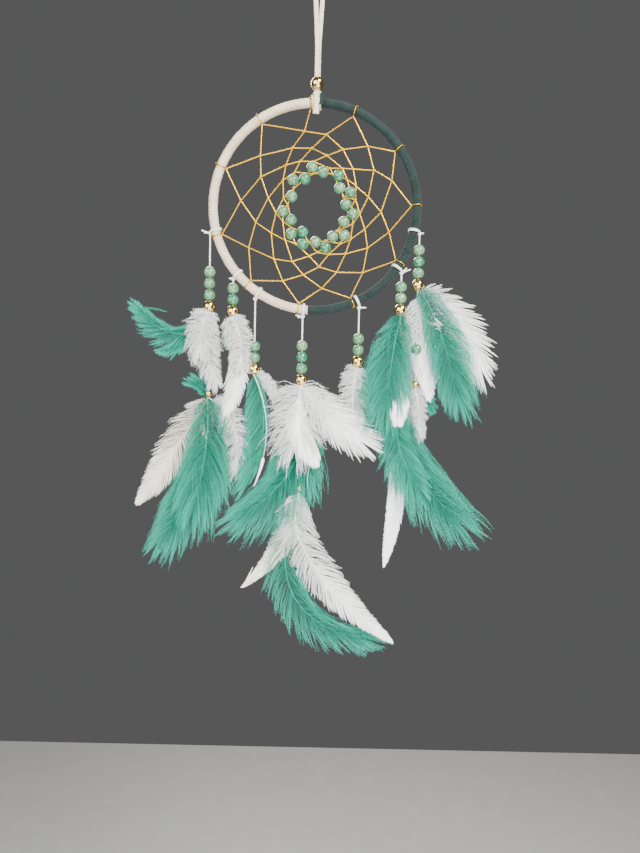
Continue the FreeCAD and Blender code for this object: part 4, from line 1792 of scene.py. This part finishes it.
@dataclass
class Studio:
    """A plain pale floor, soft lights and the camera."""

    eye: tuple[float, float, float] = (6.45 * MM, -421.5 * MM, -284.5 * MM)
    aim_height: float = -0.24
    pitch: float = 0.0541
    roll: float = 0.021
    lens: float = 26.0
    sensor_height: float = 36
    clip_start: float = 0.01
    floor_drop: float = 1.6
    floor_side: float = 3.6
    backdrop: tuple[float, float, float, float] = (0.10, 0.10, 0.10 * 1.02, 1)
    lamps: tuple[Lamp, ...] = (
        Lamp("key", (0.6, -0.9, 0.6), 42, 0.45, (1.0, 0.98, 0.95)),
        Lamp("fill", (-0.8, -0.9, 0.0), 20, 1.0, (0.95, 0.98, 1.0)),
        Lamp("front", (0.1, -1.2, -0.3), 18, 1.2, (1.0, 1.0, 1.0)),
        Lamp("rim", (-0.3, 0.9, 0.5), 14, 0.6, (1.0, 1.0, 1.0)),
        Lamp("low", (0.2, -0.6, -1.0), 10, 0.8, (1.0, 1.0, 1.0)),
    )

    def floor(self) -> None:
        """Build the floor well below the hanging piece."""
        deselect()
        bpy.ops.mesh.primitive_plane_add(size=self.floor_side, location=(0, 0, -self.floor_drop))
        floor = bpy.context.object
        floor.name = "studio_floor"
        bpy.ops.object.transform_apply(location=True, rotation=True, scale=True)
        floor.data.materials.append(Plaster("pale_plaster", (0.90, 0.89, 0.87)).make())

    def light(self, lamp: Lamp) -> None:
        """Add one area light that looks at the foot of the ring and doesn't show itself."""
        data = bpy.data.lights.new(lamp.name, "AREA")
        data.energy = lamp.power
        data.size = lamp.size
        data.color = lamp.tint
        made = stand(lamp.name, data)
        made.location = lamp.place
        aim = Vector((0, 0, self.aim_height)) - Vector(lamp.place)
        made.rotation_euler = aim.to_track_quat("-Z", "Y").to_euler()
        made.visible_camera = False

    def camera(self) -> None:
        """Stand the camera in front, a little below the ring, looking slightly down."""
        data = bpy.data.cameras.new("camera")
        data.sensor_fit = "VERTICAL"
        data.sensor_height = self.sensor_height
        data.lens = self.lens
        data.clip_start = self.clip_start
        made = stand("camera", data)
        look = Vector((0, math.cos(self.pitch), -math.sin(self.pitch)))
        right = look.cross(Vector(UPRIGHT)).normalized()
        over = right.cross(look)
        turned_right = math.cos(self.roll) * right + math.sin(self.roll) * over
        turned_over = -math.sin(self.roll) * right + math.cos(self.roll) * over
        made.matrix_world = Matrix((
            (turned_right.x, turned_over.x, -look.x, self.eye[0]),
            (turned_right.y, turned_over.y, -look.y, self.eye[1]),
            (turned_right.z, turned_over.z, -look.z, self.eye[2]),
            (0, 0, 0, 1)))
        bpy.context.scene.camera = made

    def build(self) -> None:
        """Build the whole studio."""
        self.floor()
        for lamp in self.lamps:
            self.light(lamp)
        world = bpy.data.worlds.new("studio_world")
        world.use_nodes = True
        world.node_tree.nodes["Background"].inputs["Color"].default_value = self.backdrop
        bpy.context.scene.world = world
        self.camera()


def main() -> None:
    """Build every part of the dream catcher in order."""
    logging.basicConfig(level=logging.INFO, format="%(message)s")
    deselect()
    finishes = Finishes()
    stone = Stone(finishes.aventurine, 7.7 * MM, 7.25 * MM, 0.8 * MM, 0.16 * MM)
    ring = WrappedRing(finishes)
    ring.build()
    Web(finishes, ring, stone).build()
    HangingLoop(finishes, ring).build()
    Pendants(finishes, ring, stone, Plumage(finishes)).build()
    for slot in bpy.data.objects["ring_wire"].material_slots:
        slot.material = finishes.steel
    Studio().build()
    deselect()


if __name__ == "__main__":
    main()
